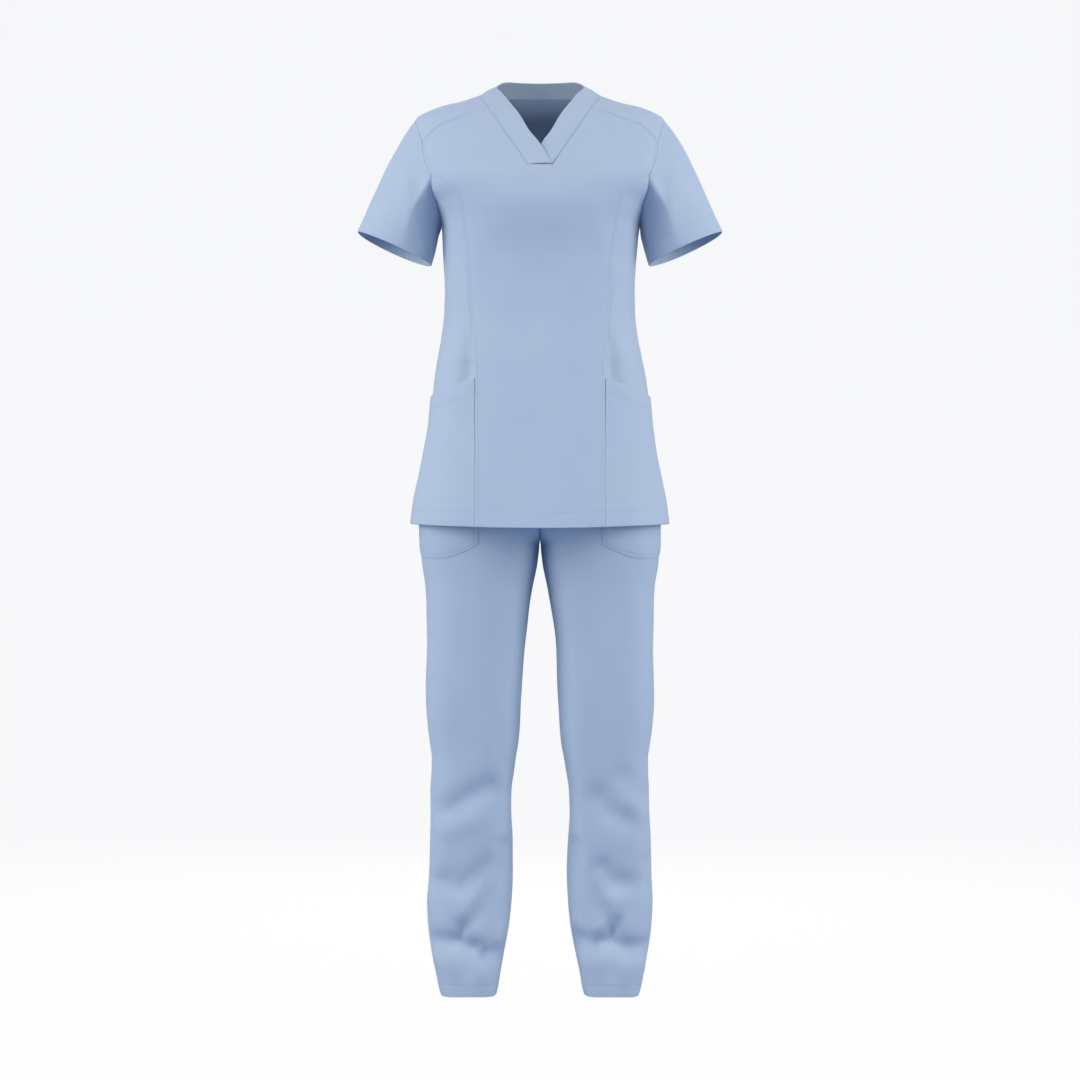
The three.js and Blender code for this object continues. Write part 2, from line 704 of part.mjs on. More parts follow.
function sleeveWall() {
  const { points, tip } = armholeRing();
  const fractions = sleeveFractions(points, tip);
  const outer = new THREE.Vector3(CUFF_OUTER.x, 0, CUFF_OUTER.z);
  const inner = new THREE.Vector3(CUFF_INNER.x, 0, CUFF_INNER.z);
  const centre = outer.clone().add(inner).multiplyScalar(0.5);
  const acrossCuff = outer.clone().sub(centre);
  const downArm = new THREE.Vector3(acrossCuff.z, 0, -acrossCuff.x).normalize();
  const lines = points.map(({ point, away }, k) => {
    const turn = Math.PI * fractions[k];
    const face = k <= tip ? -1 : 1;
    const start = point.clone().addScaledVector(away, SEAM_GAP / 2);
    const end = centre.clone().addScaledVector(acrossCuff, Math.cos(turn));
    end.y = face * CUFF_DEPTH * Math.sin(turn);
    if (face > 0) end.addScaledVector(downArm, CUFF_BACK_DROP * Math.sin(turn));
    const straight = end.clone().sub(start);
    const length = straight.length();
    straight.normalize();
    const nearTop = 1 - THREE.MathUtils.smoothstep(fractions[k], 0, CAP_TOP.reach);
    const capTop = new THREE.Vector3(CAP_TOP.x, 0, CAP_TOP.z);
    const sideways = new THREE.Vector3(away.x, 0, away.z).normalize().lerp(capTop, nearTop);
    const leave = straight.clone().lerp(sideways, CAP_ROUNDING * (1 - fractions[k])).setLength(length);
    const arrive = straight.clone().lerp(downArm, CUFF_ROUNDING).setLength(length);
    return (t) =>
      new THREE.Vector3()
        .addScaledVector(start, (1 + 2 * t) * (1 - t) ** 2)
        .addScaledVector(leave, t * (1 - t) ** 2)
        .addScaledVector(end, (3 - 2 * t) * t ** 2)
        .addScaledVector(arrive, -(1 - t) * t ** 2);
  });
  const count = lines.length;
  const STEP = 0.01;
  const grid = span(ROWS.sleeve).map((t) =>
    lines.map((line, k) => {
      const along = lines[(k + 1) % count](t).sub(lines[(k + count - 1) % count](t));
      const down = line(Math.min(t + STEP, 1)).sub(line(Math.max(t - STEP, 0)));
      return { point: line(t), normal: along.cross(down).normalize().negate() };
    }),
  );
  grid[0].forEach((edge, k) => {
    edge.inward = bevelled(edge.normal, points[k].away, CLOTH);
  });
  return wall(grid.toReversed(), { ring: true });
}

// The way through a wall at its edge: square to its face, but never back over the neighbour it leaves
function bevelled(normal, away, thickness) {
  const inward = normal.clone().negate();
  const back = Math.min(inward.dot(away), 0);
  return inward.addScaledVector(away, -back).setLength(thickness);
}

function neckBandWall() {
  const halfSeam = joined(neckLow, neckHigh, backNeck);
  const last = halfSeam.length - 1;
  const crossLine = (k, side) => {
    const { angle, z } = halfSeam[k];
    const seamPoint = tunic(angle, z);
    const tunicNormal = formNormal(tunic, angle, z);
    const { x, y, z: edgeZ } = BAND_INNER_EDGE[k];
    const edge = new THREE.Vector3(x, y, edgeZ);
    for (const vector of [seamPoint, edge, tunicNormal]) vector.x *= side;
    return { seamPoint, edge, tunicNormal };
  };
  const halfLines = (side) => halfSeam.map((_, k) => crossLine(k, side));
  const lines = [...halfLines(1), ...halfLines(-1).toReversed().slice(1)];
  const grid = lines.map(({ seamPoint, edge, tunicNormal }, k) => {
    const before = lines[Math.max(k - 1, 0)];
    const after = lines[Math.min(k + 1, 2 * last)];
    const along = after.seamPoint.clone().add(after.edge).sub(before.seamPoint).sub(before.edge);
    const normal = along.cross(edge.clone().sub(seamPoint)).normalize();
    const tuck = LAP_TUCK[k] ?? { seam: 0, middle: 0, edge: 0 };
    const seamLine = after.seamPoint.clone().sub(before.seamPoint);
    const away = tunicNormal.clone().cross(seamLine).normalize();
    const start = seamPoint.clone().addScaledVector(away, BAND_SEAM_GAP);
    return span(ROWS.band).map((t, row) => {
      const back = [tuck.seam, tuck.middle, tuck.edge][row];
      const bow = BAND_BOW * Math.sin(Math.PI * t) - back;
      const point = start.clone().lerp(edge, t).addScaledVector(normal, bow);
      return row === 0 ? { point, normal, inward: bevelled(normal, away, BAND_CLOTH) } : { point, normal };
    });
  });
  const rowsUp = span(ROWS.band).map((_, row) => grid.map((line) => line[row]));
  return wall(rowsUp, { thickness: BAND_CLOTH });
}

// Each leg panel's columns run from the side seam to the centre seam or inseam, face -1 in front, 1 behind
function legGrid(face) {
  const half = face < 0 ? LEG_COLUMNS.front : LEG_COLUMNS.back;
  return LEG_ROWS.map((rowHeight) =>
    span(2 * half).map((u) => {
      const z = rowHeight + pocketLift(u, rowHeight) + legHemRise(u, rowHeight, face);
      const middle = middleAngle(z);
      const end = centreAngle(z);
      const angle = u <= 0.5 ? 2 * u * middle : middle + (2 * u - 1) * (end - middle);
      return { angle: face * angle, z };
    }),
  );
}

// Rows near the trouser pocket's lower edge follow it: up to the side seam, and round its inner corner
function pocketLift(u, rowHeight) {
  const { side, sideWidth, corner, cornerWidth, reach } = TROUSER_POCKET_LIFT;
  const sideRise = side * Math.max(0, 1 - u / sideWidth) ** 2;
  const cornerRise = corner * Math.max(0, 1 - Math.abs(u - 0.5) / cornerWidth) ** CORNER_SHARPNESS;
  const near = Math.exp(-(((rowHeight - TROUSER_POCKET_BOTTOM) / reach) ** 2));
  return (sideRise + cornerRise) * near;
}

function legHemRise(u, rowHeight, face) {
  const { sides, front, reach } = LEG_HEM_RISE;
  const round = Math.sin(Math.PI * u) ** 2;
  const rise = sides * (1 - round) + (face < 0 ? front * round : 0);
  return rise * Math.exp(-(((rowHeight - LEG_ROWS[0]) / reach) ** 2));
}

function legPanel(side, face) {
  const grid = onForm(legs[side], legGrid(face));
  const leftToRight = face < 0 ? grid.map((row) => row.toReversed()) : grid;
  const geometry = wall(trimEdges(leftToRight));
  return side > 0 ? geometry : acrossBody(geometry);
}

function trouserPocketWall(side) {
  const { bottom, top } = TROUSER_POCKET_ROWS;
  const grid = legGrid(-1).slice(bottom, top + 1).map((row) => row.slice(0, LEG_COLUMNS.front + 1));
  const lifted = onForm(legs[side], grid, () => CLOTH + SEAM_GAP);
  const geometry = wall(trimEdges(lifted.map((row) => row.toReversed())));
  return side > 0 ? geometry : acrossBody(geometry);
}

// One ring above the four leg panels, in line with their columns
function waistbandRing() {
  const topRow = (face) => legGrid(face).at(-1);
  const front = topRow(-1);
  const back = topRow(1);
  const heights = span(ROWS.waistband).map((t) => LEG_ROWS.at(-1) + (WAIST_TOP - LEG_ROWS.at(-1)) * t);
  const grid = heights.map((z, row) => {
    const lift = row === 0 ? SEAM_GAP / 2 : 0;
    const at = ({ angle }, side) => {
      const { point, normal } = onForm(legs[side], [[{ angle, z: z + lift }]])[0][0];
      if (side < 0) {
        point.x *= -1;
        normal.x *= -1;
      }
      return { point, normal };
    };
    const leftHalf = [...front.toReversed().map((p) => at(p, 1)), ...back.slice(1).map((p) => at(p, 1))];
    const rightHalf = [...back.toReversed().map((p) => at(p, -1)), ...front.slice(1).map((p) => at(p, -1))];
    return [...leftHalf.slice(0, -1), ...rightHalf.slice(0, -1)];
  });
  return wall(grid, { ring: true });
}

addPiece("tunic_front_centre", frontCentrePanel(), CLOTH_COLOURS.tunic);
addPair("tunic_front_side", wall(trimEdges(onForm(tunic, frontSideGrid()))), CLOTH_COLOURS.tunic);
addPair("tunic_front_yoke", yokePanel(), CLOTH_COLOURS.tunic);
addPiece("tunic_back", backPanel(), CLOTH_COLOURS.tunic);
addPair("tunic_sleeve", sleeveWall(), CLOTH_COLOURS.tunic);
addPair("tunic_hip_pocket", hipPocketWall(), CLOTH_COLOURS.band);
addPiece("tunic_neck_band", neckBandWall(), CLOTH_COLOURS.band);
for (const [word, side] of [["left", 1], ["right", -1]]) {
  addPiece("trousers_front_" + word, legPanel(side, -1), CLOTH_COLOURS.trousers);
  addPiece("trousers_back_" + word, legPanel(side, 1), CLOTH_COLOURS.trousers);
  addPiece("trousers_pocket_" + word, trouserPocketWall(side), CLOTH_COLOURS.trousers);
}
addPiece("trousers_waistband", waistbandRing(), CLOTH_COLOURS.trousers);

export default scrubs;
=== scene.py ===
# %% [markdown]
# # A medical scrubs set
# A V-neck tunic over straight trousers, filled out as if worn. Every cut piece of cloth is made here
# again as a fine sheet on the same form as its plain solid, then gets its seams, hems and stitches.
# The solids say where everything is, so the sheets need no fitting.

import math

import bpy
import mathutils
import numpy as np
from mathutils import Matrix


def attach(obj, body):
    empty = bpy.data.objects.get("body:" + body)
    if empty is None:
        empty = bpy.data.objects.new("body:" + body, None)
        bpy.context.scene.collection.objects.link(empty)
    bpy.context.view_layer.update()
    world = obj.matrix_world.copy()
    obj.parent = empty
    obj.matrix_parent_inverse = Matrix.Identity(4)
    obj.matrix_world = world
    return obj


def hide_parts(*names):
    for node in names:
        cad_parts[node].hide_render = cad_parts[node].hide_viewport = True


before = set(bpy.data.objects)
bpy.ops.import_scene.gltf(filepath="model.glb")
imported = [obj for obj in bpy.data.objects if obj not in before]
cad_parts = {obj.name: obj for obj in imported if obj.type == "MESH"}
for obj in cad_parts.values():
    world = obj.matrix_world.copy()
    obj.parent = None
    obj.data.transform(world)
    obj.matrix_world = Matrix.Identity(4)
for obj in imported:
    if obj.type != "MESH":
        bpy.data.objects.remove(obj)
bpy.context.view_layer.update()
MM = 0.001
print("solids in the frame:", sorted(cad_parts))

# %% [markdown]
# ## The camera
# The garment is seen from straight in front, level with its middle and from nearly four metres away.
# One pixel of the 1080 pixel frame is 1.6 mm at the middle of the garment, which gives the lens.

# %% Place the camera
CAMERA_DISTANCE = 3.8
CAMERA_HEIGHT = -0.7104
FRAME_WIDTH = 1080 * 0.0016
SENSOR_WIDTH = 36


def placed(name, data):
    """Adds an object that holds a mesh, a lamp or a camera."""
    thing = bpy.data.objects.new(name, data)
    bpy.context.collection.objects.link(thing)
    return thing


lens = bpy.data.cameras.new("front_camera")
lens.sensor_width = SENSOR_WIDTH
lens.lens = SENSOR_WIDTH * CAMERA_DISTANCE / FRAME_WIDTH
camera = placed("front_camera", lens)
camera.location = (0, -CAMERA_DISTANCE, CAMERA_HEIGHT)
camera.rotation_euler = (math.radians(90), 0, 0)
bpy.context.scene.camera = camera
print("lens, mm:", round(lens.lens, 1))

# %% [markdown]
# ## Shader maths as plain expressions
# A shader is a net of small nodes, and maths written with nodes is hard to read. A wire wraps one
# socket, and the usual operators add the Math nodes, so a formula stays a formula.


# %% Wrap a socket
class Wire:
    """One output of a node. Its operators add Math nodes."""

    def __init__(self, board, socket):
        self.board = board
        self.socket = socket

    def math(self, operation, *values):
        return self.board.node("ShaderNodeMath", {"operation": operation}, dict(enumerate(values)))

    def __add__(self, other):
        return self.math("ADD", self, other)

    def __mul__(self, other):
        return self.math("MULTIPLY", self, other)

    def __sub__(self, other):
        return self.math("SUBTRACT", self, other)

    def __rsub__(self, other):
        return self.math("SUBTRACT", other, self)

    __radd__ = __add__
    __rmul__ = __mul__

    def sine(self):
        return self.math("SINE", self)

    def output(self, name):
        """Gives another output of the same node, by its name or number."""
        return Wire(self.board, self.socket.node.outputs[name])


class Board:
    """Adds nodes to one tree."""

    def __init__(self, tree):
        self.tree = tree

    def node(self, kind, settings=None, sockets=None, output=0):
        node = self.tree.nodes.new(kind)
        for name, value in (settings or {}).items():
            setattr(node, name, value)
        for name, value in (sockets or {}).items():
            if isinstance(value, Wire):
                self.tree.links.new(value.socket, node.inputs[name])
            else:
                node.inputs[name].default_value = value
        return Wire(self, node.outputs[output])

    def mix(self, first, second, factor):
        """A mix of two colours, which are sockets 6 and 7 of the node."""
        values = {0: factor, 6: first, 7: second}
        return self.node("ShaderNodeMix", {"data_type": "RGBA"}, values, output=2)


# %% [markdown]
# ## The cloth
# Scrubs are cut from a fine, matt twill of polyester and cotton. Its ribs are under a millimetre apart,
# so from a step away it looks smooth, with a soft pale sheen where it turns away from the eye. The
# yarns run along the cut of each piece, so the weave follows the piece's own UV map, in metres. The
# inner faces of the tunic get a darker, bluer copy of the cloth: painted shade for its dim inside.

# %% Make the cloth
TWILL_PITCH = 0.0011
YARN_PITCH = 0.00055
TURN = 2 * math.pi
QUARTER = math.pi / 2
RIB_SHARE = 0.6
SLUB_STRETCH = (900, 60, 1)
CLOUD_SCALE = 7.0
TONE = {"clouds": 0.5, "slubs": 0.22, "weave": 0.05, "least": 0.14}
BUMP = {"Strength": 0.35, "Distance": 0.00012}
SLUB_BUMP = 0.5
ROUGHNESS = {"least": 0.8, "slubs": 0.08}
FINISH = {"Specular IOR Level": 0.25, "Sheen Roughness": 0.45, "Sheen Tint": (0.86, 0.93, 1.0, 1.0)}


def cloth(name, colour, deep_colour, sheen):
    material = bpy.data.materials.new(name)
    material.use_nodes = True
    board = Board(material.node_tree)
    shader = material.node_tree.nodes["Principled BSDF"]
    uv = board.node("ShaderNodeTexCoord", output=2)
    across = board.node("ShaderNodeSeparateXYZ", sockets={0: uv})
    along = across.output(1)
    ribs = ((across + along) * (TURN / TWILL_PITCH)).sine()
    yarns = (across * (TURN / YARN_PITCH)).sine() * (along * (TURN / YARN_PITCH)).sine()
    height = ribs * RIB_SHARE + yarns * (1 - RIB_SHARE)
    stretched = board.node("ShaderNodeMapping", sockets={"Vector": uv, "Scale": SLUB_STRETCH})
    slubs = board.node("ShaderNodeTexNoise", sockets={"Vector": stretched, "Scale": 1.0, "Detail": 2.0})
    place = board.node("ShaderNodeTexCoord", output=3)
    clouds = board.node(
        "ShaderNodeTexNoise", sockets={"Vector": place, "Scale": CLOUD_SCALE, "Detail": 2.0}
    )
    tone = clouds * TONE["clouds"] + slubs * TONE["slubs"] + height * TONE["weave"] + TONE["least"]
    shade = board.mix(deep_colour, colour, tone)
    bump = board.node("ShaderNodeBump", sockets={"Height": height + slubs * SLUB_BUMP, **BUMP})
    link = material.node_tree.links.new
    link(shade.socket, shader.inputs["Base Color"])
    roughness = slubs * ROUGHNESS["slubs"] + ROUGHNESS["least"]
    link(roughness.socket, shader.inputs["Roughness"])
    link(bump.socket, shader.inputs["Normal"])
    for input_name, value in {**FINISH, "Sheen Weight": sheen}.items():
        shader.inputs[input_name].default_value = value
    return material


tunic_cloth = cloth("tunic_twill", (0.455, 0.545, 0.65, 1), (0.43, 0.52, 0.63, 1), 0.35)
trouser_cloth = cloth("trouser_twill", (0.43, 0.53, 0.64, 1), (0.405, 0.505, 0.62, 1), 0.3)
thread = cloth("sewing_thread", (0.40, 0.485, 0.59, 1), (0.37, 0.455, 0.56, 1), 0.2)
# A darker, bluer copy of the tunic cloth for the tunic's inner faces: painted shade, not a different wrong
# side.
painted_shade_inside = cloth("tunic_twill_inside", (0.30, 0.40, 0.54, 1), (0.28, 0.38, 0.52, 1), 0.15)
CLOTHS = {"tunic": tunic_cloth, "trousers": trouser_cloth}
print("cloths:", tunic_cloth.name, trouser_cloth.name, painted_shade_inside.name, thread.name)

# %% [markdown]
# ## The body of each garment
# A worn garment is close to a row of ovals, one above the other. A short table gives the half width and
# the depth of the ovals at some heights, and a smooth curve runs between the rows. The curve never
# swings past a row, so a narrow waist stays where the table puts it. All tables are in millimetres.

# %% Small tools for curves
def points_of(*coordinates):
    """Puts separate coordinates together into points."""
    return np.stack(np.broadcast_arrays(*coordinates), -1)


def run_along(points, axis=0):
    """The length along a line of points, from its first point to each."""
    steps = np.linalg.norm(np.diff(points, axis=axis), axis=-1)
    return np.insert(np.cumsum(steps, axis), 0, 0, axis)


def eased(t, start, leave, end, arrive):
    """A smooth curve from start to end, with a given direction at each."""
    ends = start * (1 + 2 * t) * (1 - t) ** 2 + end * (3 - 2 * t) * t**2
    return ends + leave * t * (1 - t) ** 2 - arrive * (1 - t) * t**2


def smooth_through(ends, t):
    """Points at t from 0 to 1 between each two rows, on a curve through all but the outermost rows."""
    pieces = [
        eased(t, p1, (p2 - p0) / 2, p2, (p3 - p1) / 2)
        for p0, p1, p2, p3 in zip(ends, ends[1:], ends[2:], ends[3:])
    ]
    return np.vstack([*pieces, ends[-2:-1]])


# %% Read a table as smooth curves
def table(columns, rows):
    return dict(zip(columns.split(), np.array(rows, float).T))


def smooth_form(rows):
    heights = rows["z"]
    steps = np.diff(heights)
    curves = []
    for name in list(rows)[1:]:
        rises = np.diff(rows[name]) / steps
        before = np.concatenate([rises[:1], rises])
        after = np.concatenate([rises, rises[-1:]])
        agree = before * after > 0
        total = np.where(agree, before + after, 1)
        curves.append((rows[name], np.where(agree, 2 * before * after / total, 0)))

    def at(z):
        z = np.clip(z, heights[0], heights[-1])
        low = np.clip(np.searchsorted(heights, z, side="right") - 1, 0, len(steps) - 1)
        step = steps[low]
        t = (z - heights[low]) / step
        return [
            eased(t, values[low], step * slopes[low], values[low + 1], step * slopes[low + 1])
            for values, slopes in curves
        ]

    return at


# %% The tunic's ovals
TUNIC_FORM = table(
    "z half_width front back",
    [
        [-694, 206.4, 151, 141],
        [-662, 202.6, 147, 139.5],
        [-614, 193.5, 141, 138],
        [-570, 184.5, 136, 134],
        [-525, 177.5, 131, 128],
        [-486, 173, 127, 121],
        [-446, 168.3, 122.5, 112],
        [-413, 162.4, 118.5, 104],
        [-384, 156.8, 115, 97.5],
        [-350, 152.8, 112.5, 93],
        [-307, 152, 112.5, 92],
        [-272, 153.3, 116, 95],
        [-246, 155.2, 121.5, 99],
        [-213, 158, 131, 105],
        [-182, 171, 137, 109],
        [-146, 199, 132, 112],
        [-115, 206, 116, 111],
        [-78, 201, 89, 104],
        [-36.5, 198, 60, 88],
        [-27.8, 184, 50, 83],
        [-19.6, 163, 39, 79],
        [-13.3, 138, 30, 77],
        [-8, 120, 24, 76],
        [2.5, 93, 13, 75],
        [14, 78, 8, 75],
    ],
)
SQUARENESS = 0.03
tunic_at = smooth_form(TUNIC_FORM)


def squared(angle):
    return 1 + SQUARENESS * np.sin(2 * angle) ** 2


def tunic_form(angle, z):
    """A point of the tunic: angle 0 is the middle of the front, and positive is the wearer's left."""
    half_width, front, back = tunic_at(z)
    depth = np.where(np.cos(angle) >= 0, front, back)
    size = squared(angle)
    return points_of(half_width * np.sin(angle) * size, -depth * np.cos(angle) * size, z)


# %% The trousers' ovals
LEG_FORM = table(
    "z outer inner front back",
    [
        [-1441, 156.5, 72, 74, 82],
        [-1424, 161.6, 67.5, 73, 80],
        [-1402, 166, 64, 72, 78],
        [-1378, 171.2, 59, 71, 76],
        [-1350, 175.8, 53, 69, 74],
        [-1320, 178.7, 48, 67, 73],
        [-1286, 180, 44.8, 66, 72],
        [-1251, 178.4, 43.5, 66, 72],
        [-1187, 176, 44.6, 67, 72],
        [-1146, 175.2, 46.4, 68, 71],
        [-1110, 175, 45.5, 69, 70],
        [-1078, 173.3, 41.5, 70.5, 70],
        [-1058, 173, 38.5, 71.5, 70.5],
        [-1037, 176, 34.5, 72.5, 72],
        [-1006, 179.7, 31.5, 75, 74],
        [-966, 182, 29.8, 78, 77],
        [-870, 181, 24, 84, 85],
        [-818, 181.6, 17.3, 88, 90],
        [-784, 184, 11.5, 91, 94],
        [-746, 189.8, 3.2, 96, 100],
        [-716.5, 191.8, 0.2, 100, 106],
        [-654, 191.2, 0, 108, 115],
        [-614, 185.6, 0, 110, 117],
        [-566, 177.6, 0, 110, 114],
        [-525, 171, 0, 107, 107],
        [-454, 157, 0, 100, 96],
    ],
)
CROTCH_HEIGHT = -716.5
CROTCH_CURVE = 75
MIDDLE_LINE = 96
LEG_HEM = -1441
PANEL_TOP = -490
WAIST_TOP = -454
leg_at = smooth_form(LEG_FORM)


def centre_angle(z):
    """Where a leg panel ends: the centre seam above, which curves in to the inseam at the crotch."""
    return np.arccos(np.clip((z - CROTCH_HEIGHT) / CROTCH_CURVE, 0, 1) - 1)


def leg_oval(z):
    outer, inner, front, back = leg_at(z)
    end = centre_angle(z)
    half_width = (outer - inner) / (1 - np.cos(end) * squared(end))
    return outer - half_width, half_width, front, back


def leg_form(angle, z):
    """A point of the left leg: angle 0 is the side seam, 180 degrees the inseam, negative in front."""
    centre, half_width, front, back = leg_oval(z)
    depth = np.where(angle <= 0, front, back)
    size = squared(angle)
    return points_of(centre + half_width * np.cos(angle) * size, depth * np.sin(angle) * size, z)


def middle_angle(z):
    centre, half_width = leg_oval(z)[:2]
    reach = np.clip((MIDDLE_LINE - centre) / half_width, -1, 1)
    return np.where(z <= CROTCH_HEIGHT, QUARTER, np.arccos(reach))


print("tunic half width at the waist, mm:", round(float(tunic_at(np.array(-307.0))[0]), 1))

# %% [markdown]
# ## Folds
# Cloth that hangs from the shoulders or breaks over the shoe falls into soft troughs and ridges. Each
# fold here is a short path in x and z with a depth and a width: the cloth moves out or in by the depth
# on the path, and by less away from it. No two are quite alike in length, depth and spacing.


# %% Move the cloth along its folds
def fold(side, face, depth, width, path):
    """side -1 is the wearer's right, 1 the left and 0 both. face -1 is in front and 1 behind."""
    return {"side": side, "face": face, "depth": depth, "width": width, "path": np.array(path, float)}


FOLD_FADE = 34
FOLD_DROP = 12
FOLD_WIDENING = 1.3
LEG_FOLDS = [
    fold(-1, -1, -7.5, 15, [[145, -1124], [112, -1104], [82, -1090]]),
    fold(-1, -1, 3, 15, [[148, -1152], [110, -1142]]),
    fold(-1, -1, -7, 15, [[146, -1239], [126, -1247], [100, -1228], [80, -1214]]),
    fold(-1, -1, -5, 10, [[56, -1181], [63, -1223], [73, -1249], [88, -1276], [109, -1298], [122, -1313]]),
    fold(-1, -1, -3.5, 9, [[163, -1239], [151, -1271], [136, -1298], [125, -1309]]),
    fold(-1, -1, 4.5, 15, [[122, -1282], [122, -1268]]),
    fold(-1, -1, -11.5, 12, [[165, -1334], [127, -1330], [102, -1342], [85, -1356], [71, -1352]]),
    fold(-1, -1, -3, 10, [[114, -1349], [112, -1376]]),
    fold(-1, -1, 1.5, 14, [[150, -1368], [84, -1384]]),
    fold(-1, -1, -4, 8, [[128, -1329], [102, -1340]]),
    fold(1, -1, -4, 14, [[134, -1070], [148, -1082], [161, -1102]]),
    fold(1, -1, -6.5, 16, [[92, -1106], [109, -1126], [138, -1140]]),
    fold(1, -1, 3, 12, [[144, -1117], [156, -1130]]),
    fold(1, -1, -7, 14, [[97, -1216], [115, -1238], [145, -1241]]),
    fold(1, -1, -5, 10, [[54, -1181], [61, -1218], [73, -1242], [89, -1273], [111, -1298], [115, -1313]]),
    fold(1, -1, -3.5, 9, [[170, -1208], [162, -1242], [150, -1267], [134, -1292], [118, -1311]]),
    fold(1, -1, 4.5, 15, [[121, -1284], [121, -1268]]),
    fold(1, -1, -11.5, 12, [[60, -1332], [84, -1337], [111, -1325], [134, -1340], [160, -1343]]),
    fold(1, -1, -3, 10, [[110, -1349], [113, -1377]]),
    fold(1, -1, 1.5, 14, [[82, -1368], [150, -1376]]),
    fold(1, -1, -4, 8, [[97, -1331], [126, -1333]]),
    fold(0, -1, -4, 20, [[44, -1195], [50, -1240], [66, -1285]]),
    fold(0, 1, -6, 15, [[160, -1068], [118, -1084], [70, -1070]]),
    fold(0, 1, -5, 14, [[66, -1128], [104, -1116], [150, -1132]]),
    fold(0, 1, 3.5, 16, [[82, -1100], [140, -1100]]),
    fold(0, 1, -4.5, 12, [[168, -1236], [134, -1276], [112, -1300]]),
    fold(0, 1, -5, 12, [[60, -1214], [84, -1266], [106, -1300]]),
    fold(0, 1, -8, 13, [[158, -1352], [112, -1336], [74, -1358]]),
    fold(0, 1, -4, 16, [[40, -790], [92, -806], [140, -792]]),
]
TUNIC_FOLDS = [
    fold(0, -1, 2, 26, [[52, -300], [58, -420]]),
    fold(0, -1, -2.5, 20, [[148, -182], [136, -214], [128, -262]]),
    fold(0, 1, -4, 20, [[62, -286], [56, -348], [66, -420]]),
    fold(0, 1, 3, 20, [[26, -300], [24, -400]]),
    fold(0, 1, -4, 18, [[128, -196], [112, -238], [98, -284]]),
    fold(0, 1, -3.5, 16, [[142, -330], [104, -338], [84, -352]]),
]
# Only the side panels have these, above the mouth of each hip pocket.
MOUTH_FOLDS = [
    fold(0, -1, -3.2, 11, [[110, -404], [113, -430], [112, -452]]),
    fold(0, -1, -4.5, 13, [[114, -438], [120, -474], [124, -500]]),
]


def distance_to_path(x, z, path):
    nearest = np.full(np.shape(x), np.inf)
    for (x0, z0), (x1, z1) in zip(path, path[1:]):
        length2 = (x1 - x0) ** 2 + (z1 - z0) ** 2
        t = np.clip(((x - x0) * (x1 - x0) + (z - z0) * (z1 - z0)) / length2, 0, 1)
        nearest = np.minimum(nearest, np.hypot(x - x0 - t * (x1 - x0), z - z0 - t * (z1 - z0)))
    return nearest


def smoothstep(x):
    t = np.clip(x, 0, 1)
    return t * t * (3 - 2 * t)


def fold_depth(folds, side, points, drop=0.0, widen=1.0):
    x, y, z = np.abs(points[..., 0]), points[..., 1], points[..., 2] + drop
    depth = np.zeros(x.shape)
    for each in folds:
        if each["side"] in (0, side):
            facing = smoothstep(y * each["face"] / FOLD_FADE)
            distance = distance_to_path(x, z, each["path"])
            depth += each["depth"] * facing * np.exp(-((distance / each["width"] / widen) ** 2))
    return depth


def unit(vectors):
    return vectors / np.linalg.norm(vectors, axis=-1, keepdims=True)


def form_normal(form, angle, z, turn=0.004, rise=0.25):
    along = form(angle + turn, z) - form(angle - turn, z)
    up = form(angle, z + rise) - form(angle, z - rise)
    return unit(np.cross(along, up))


def folded(form, folds, side, drop=0.0, widen=1.0):
    def at(angle, z):
        points = form(angle, z)
        depth = fold_depth(folds, side, points, drop, widen)
        return points + form_normal(form, angle, z) * depth[..., None]

    return at


tunic = folded(tunic_form, TUNIC_FOLDS, 0)
tunic_side = folded(tunic_form, TUNIC_FOLDS + MOUTH_FOLDS, 0)
legs = {side: folded(leg_form, LEG_FOLDS, side, FOLD_DROP, FOLD_WIDENING) for side in (-1, 1)}
print("folds:", len(TUNIC_FOLDS), "on the tunic,", len(LEG_FOLDS), "on the trousers")

# %% [markdown]
# ## Seams
# Each seam is a curve on the garment's form, through a few measured points. Two panels that are sewn
# together share one curve, so they meet with no gap. A curve is kept as closely spaced points, numbered
# so that its whole numbers are the corners of the plain solid.

# %% Draw a seam
FINE = 16
SHOULDER_TIP = (198, -36.5)
NECK_POINT = (91, 3.2)
BACK_NECK_RISE = 4
HEM_HEIGHT = -685
HEM_DIP = 7
ARMPIT_HEIGHT = -213
POCKET_MOUTH = (102, -458.5)
POCKET_MOUTH_DROP = 27.5
DEGREE_WIDTH = 3
SAMPLES = 160


def spline(points, count):
    """count + 1 evenly spaced points of a smooth curve through the given points."""
    points = np.array(points, float)
    ends = np.vstack([points[:1], points, points[-1:]])
    curve = smooth_through(ends, np.linspace(0, 1, SAMPLES, endpoint=False)[:, None])
    run = run_along(curve)
    even = np.linspace(0, run[-1], count + 1)
    return np.stack([np.interp(even, run, curve[:, k]) for k in range(curve.shape[1])], -1)


def halving(low, high, short, rounds=40):
    """Closes in on the values between low and high up to which short(value) holds."""
    for _ in range(rounds):
        middle = (low + high) / 2
        too_low = short(middle)
        low, high = np.where(too_low, middle, low), np.where(too_low, high, middle)
    return (low + high) / 2


def front_angle(x, z):
    """The angle at which the front of the tunic is x wide of the middle."""
    half_width = tunic_at(z)[0]
    widest = np.full_like(x, QUARTER)
    return halving(np.zeros_like(x), widest, lambda a: half_width * np.sin(a) * squared(a) < x)


def seam_by_x(points, count):
    x, z = spline(points, count * FINE).T
    return points_of(front_angle(x, z), z)


def seam_by_angle(points, count):
    points = np.array(points, float) * (DEGREE_WIDTH, 1)
    across, z = spline(points, count * FINE).T
    return points_of(np.radians(across / DEGREE_WIDTH), z)


def joined(*seams):
    return np.concatenate([seams[0], *[points[1:] for points in seams[1:]]])


def across_body(seam):
    return seam * (-1, 1)


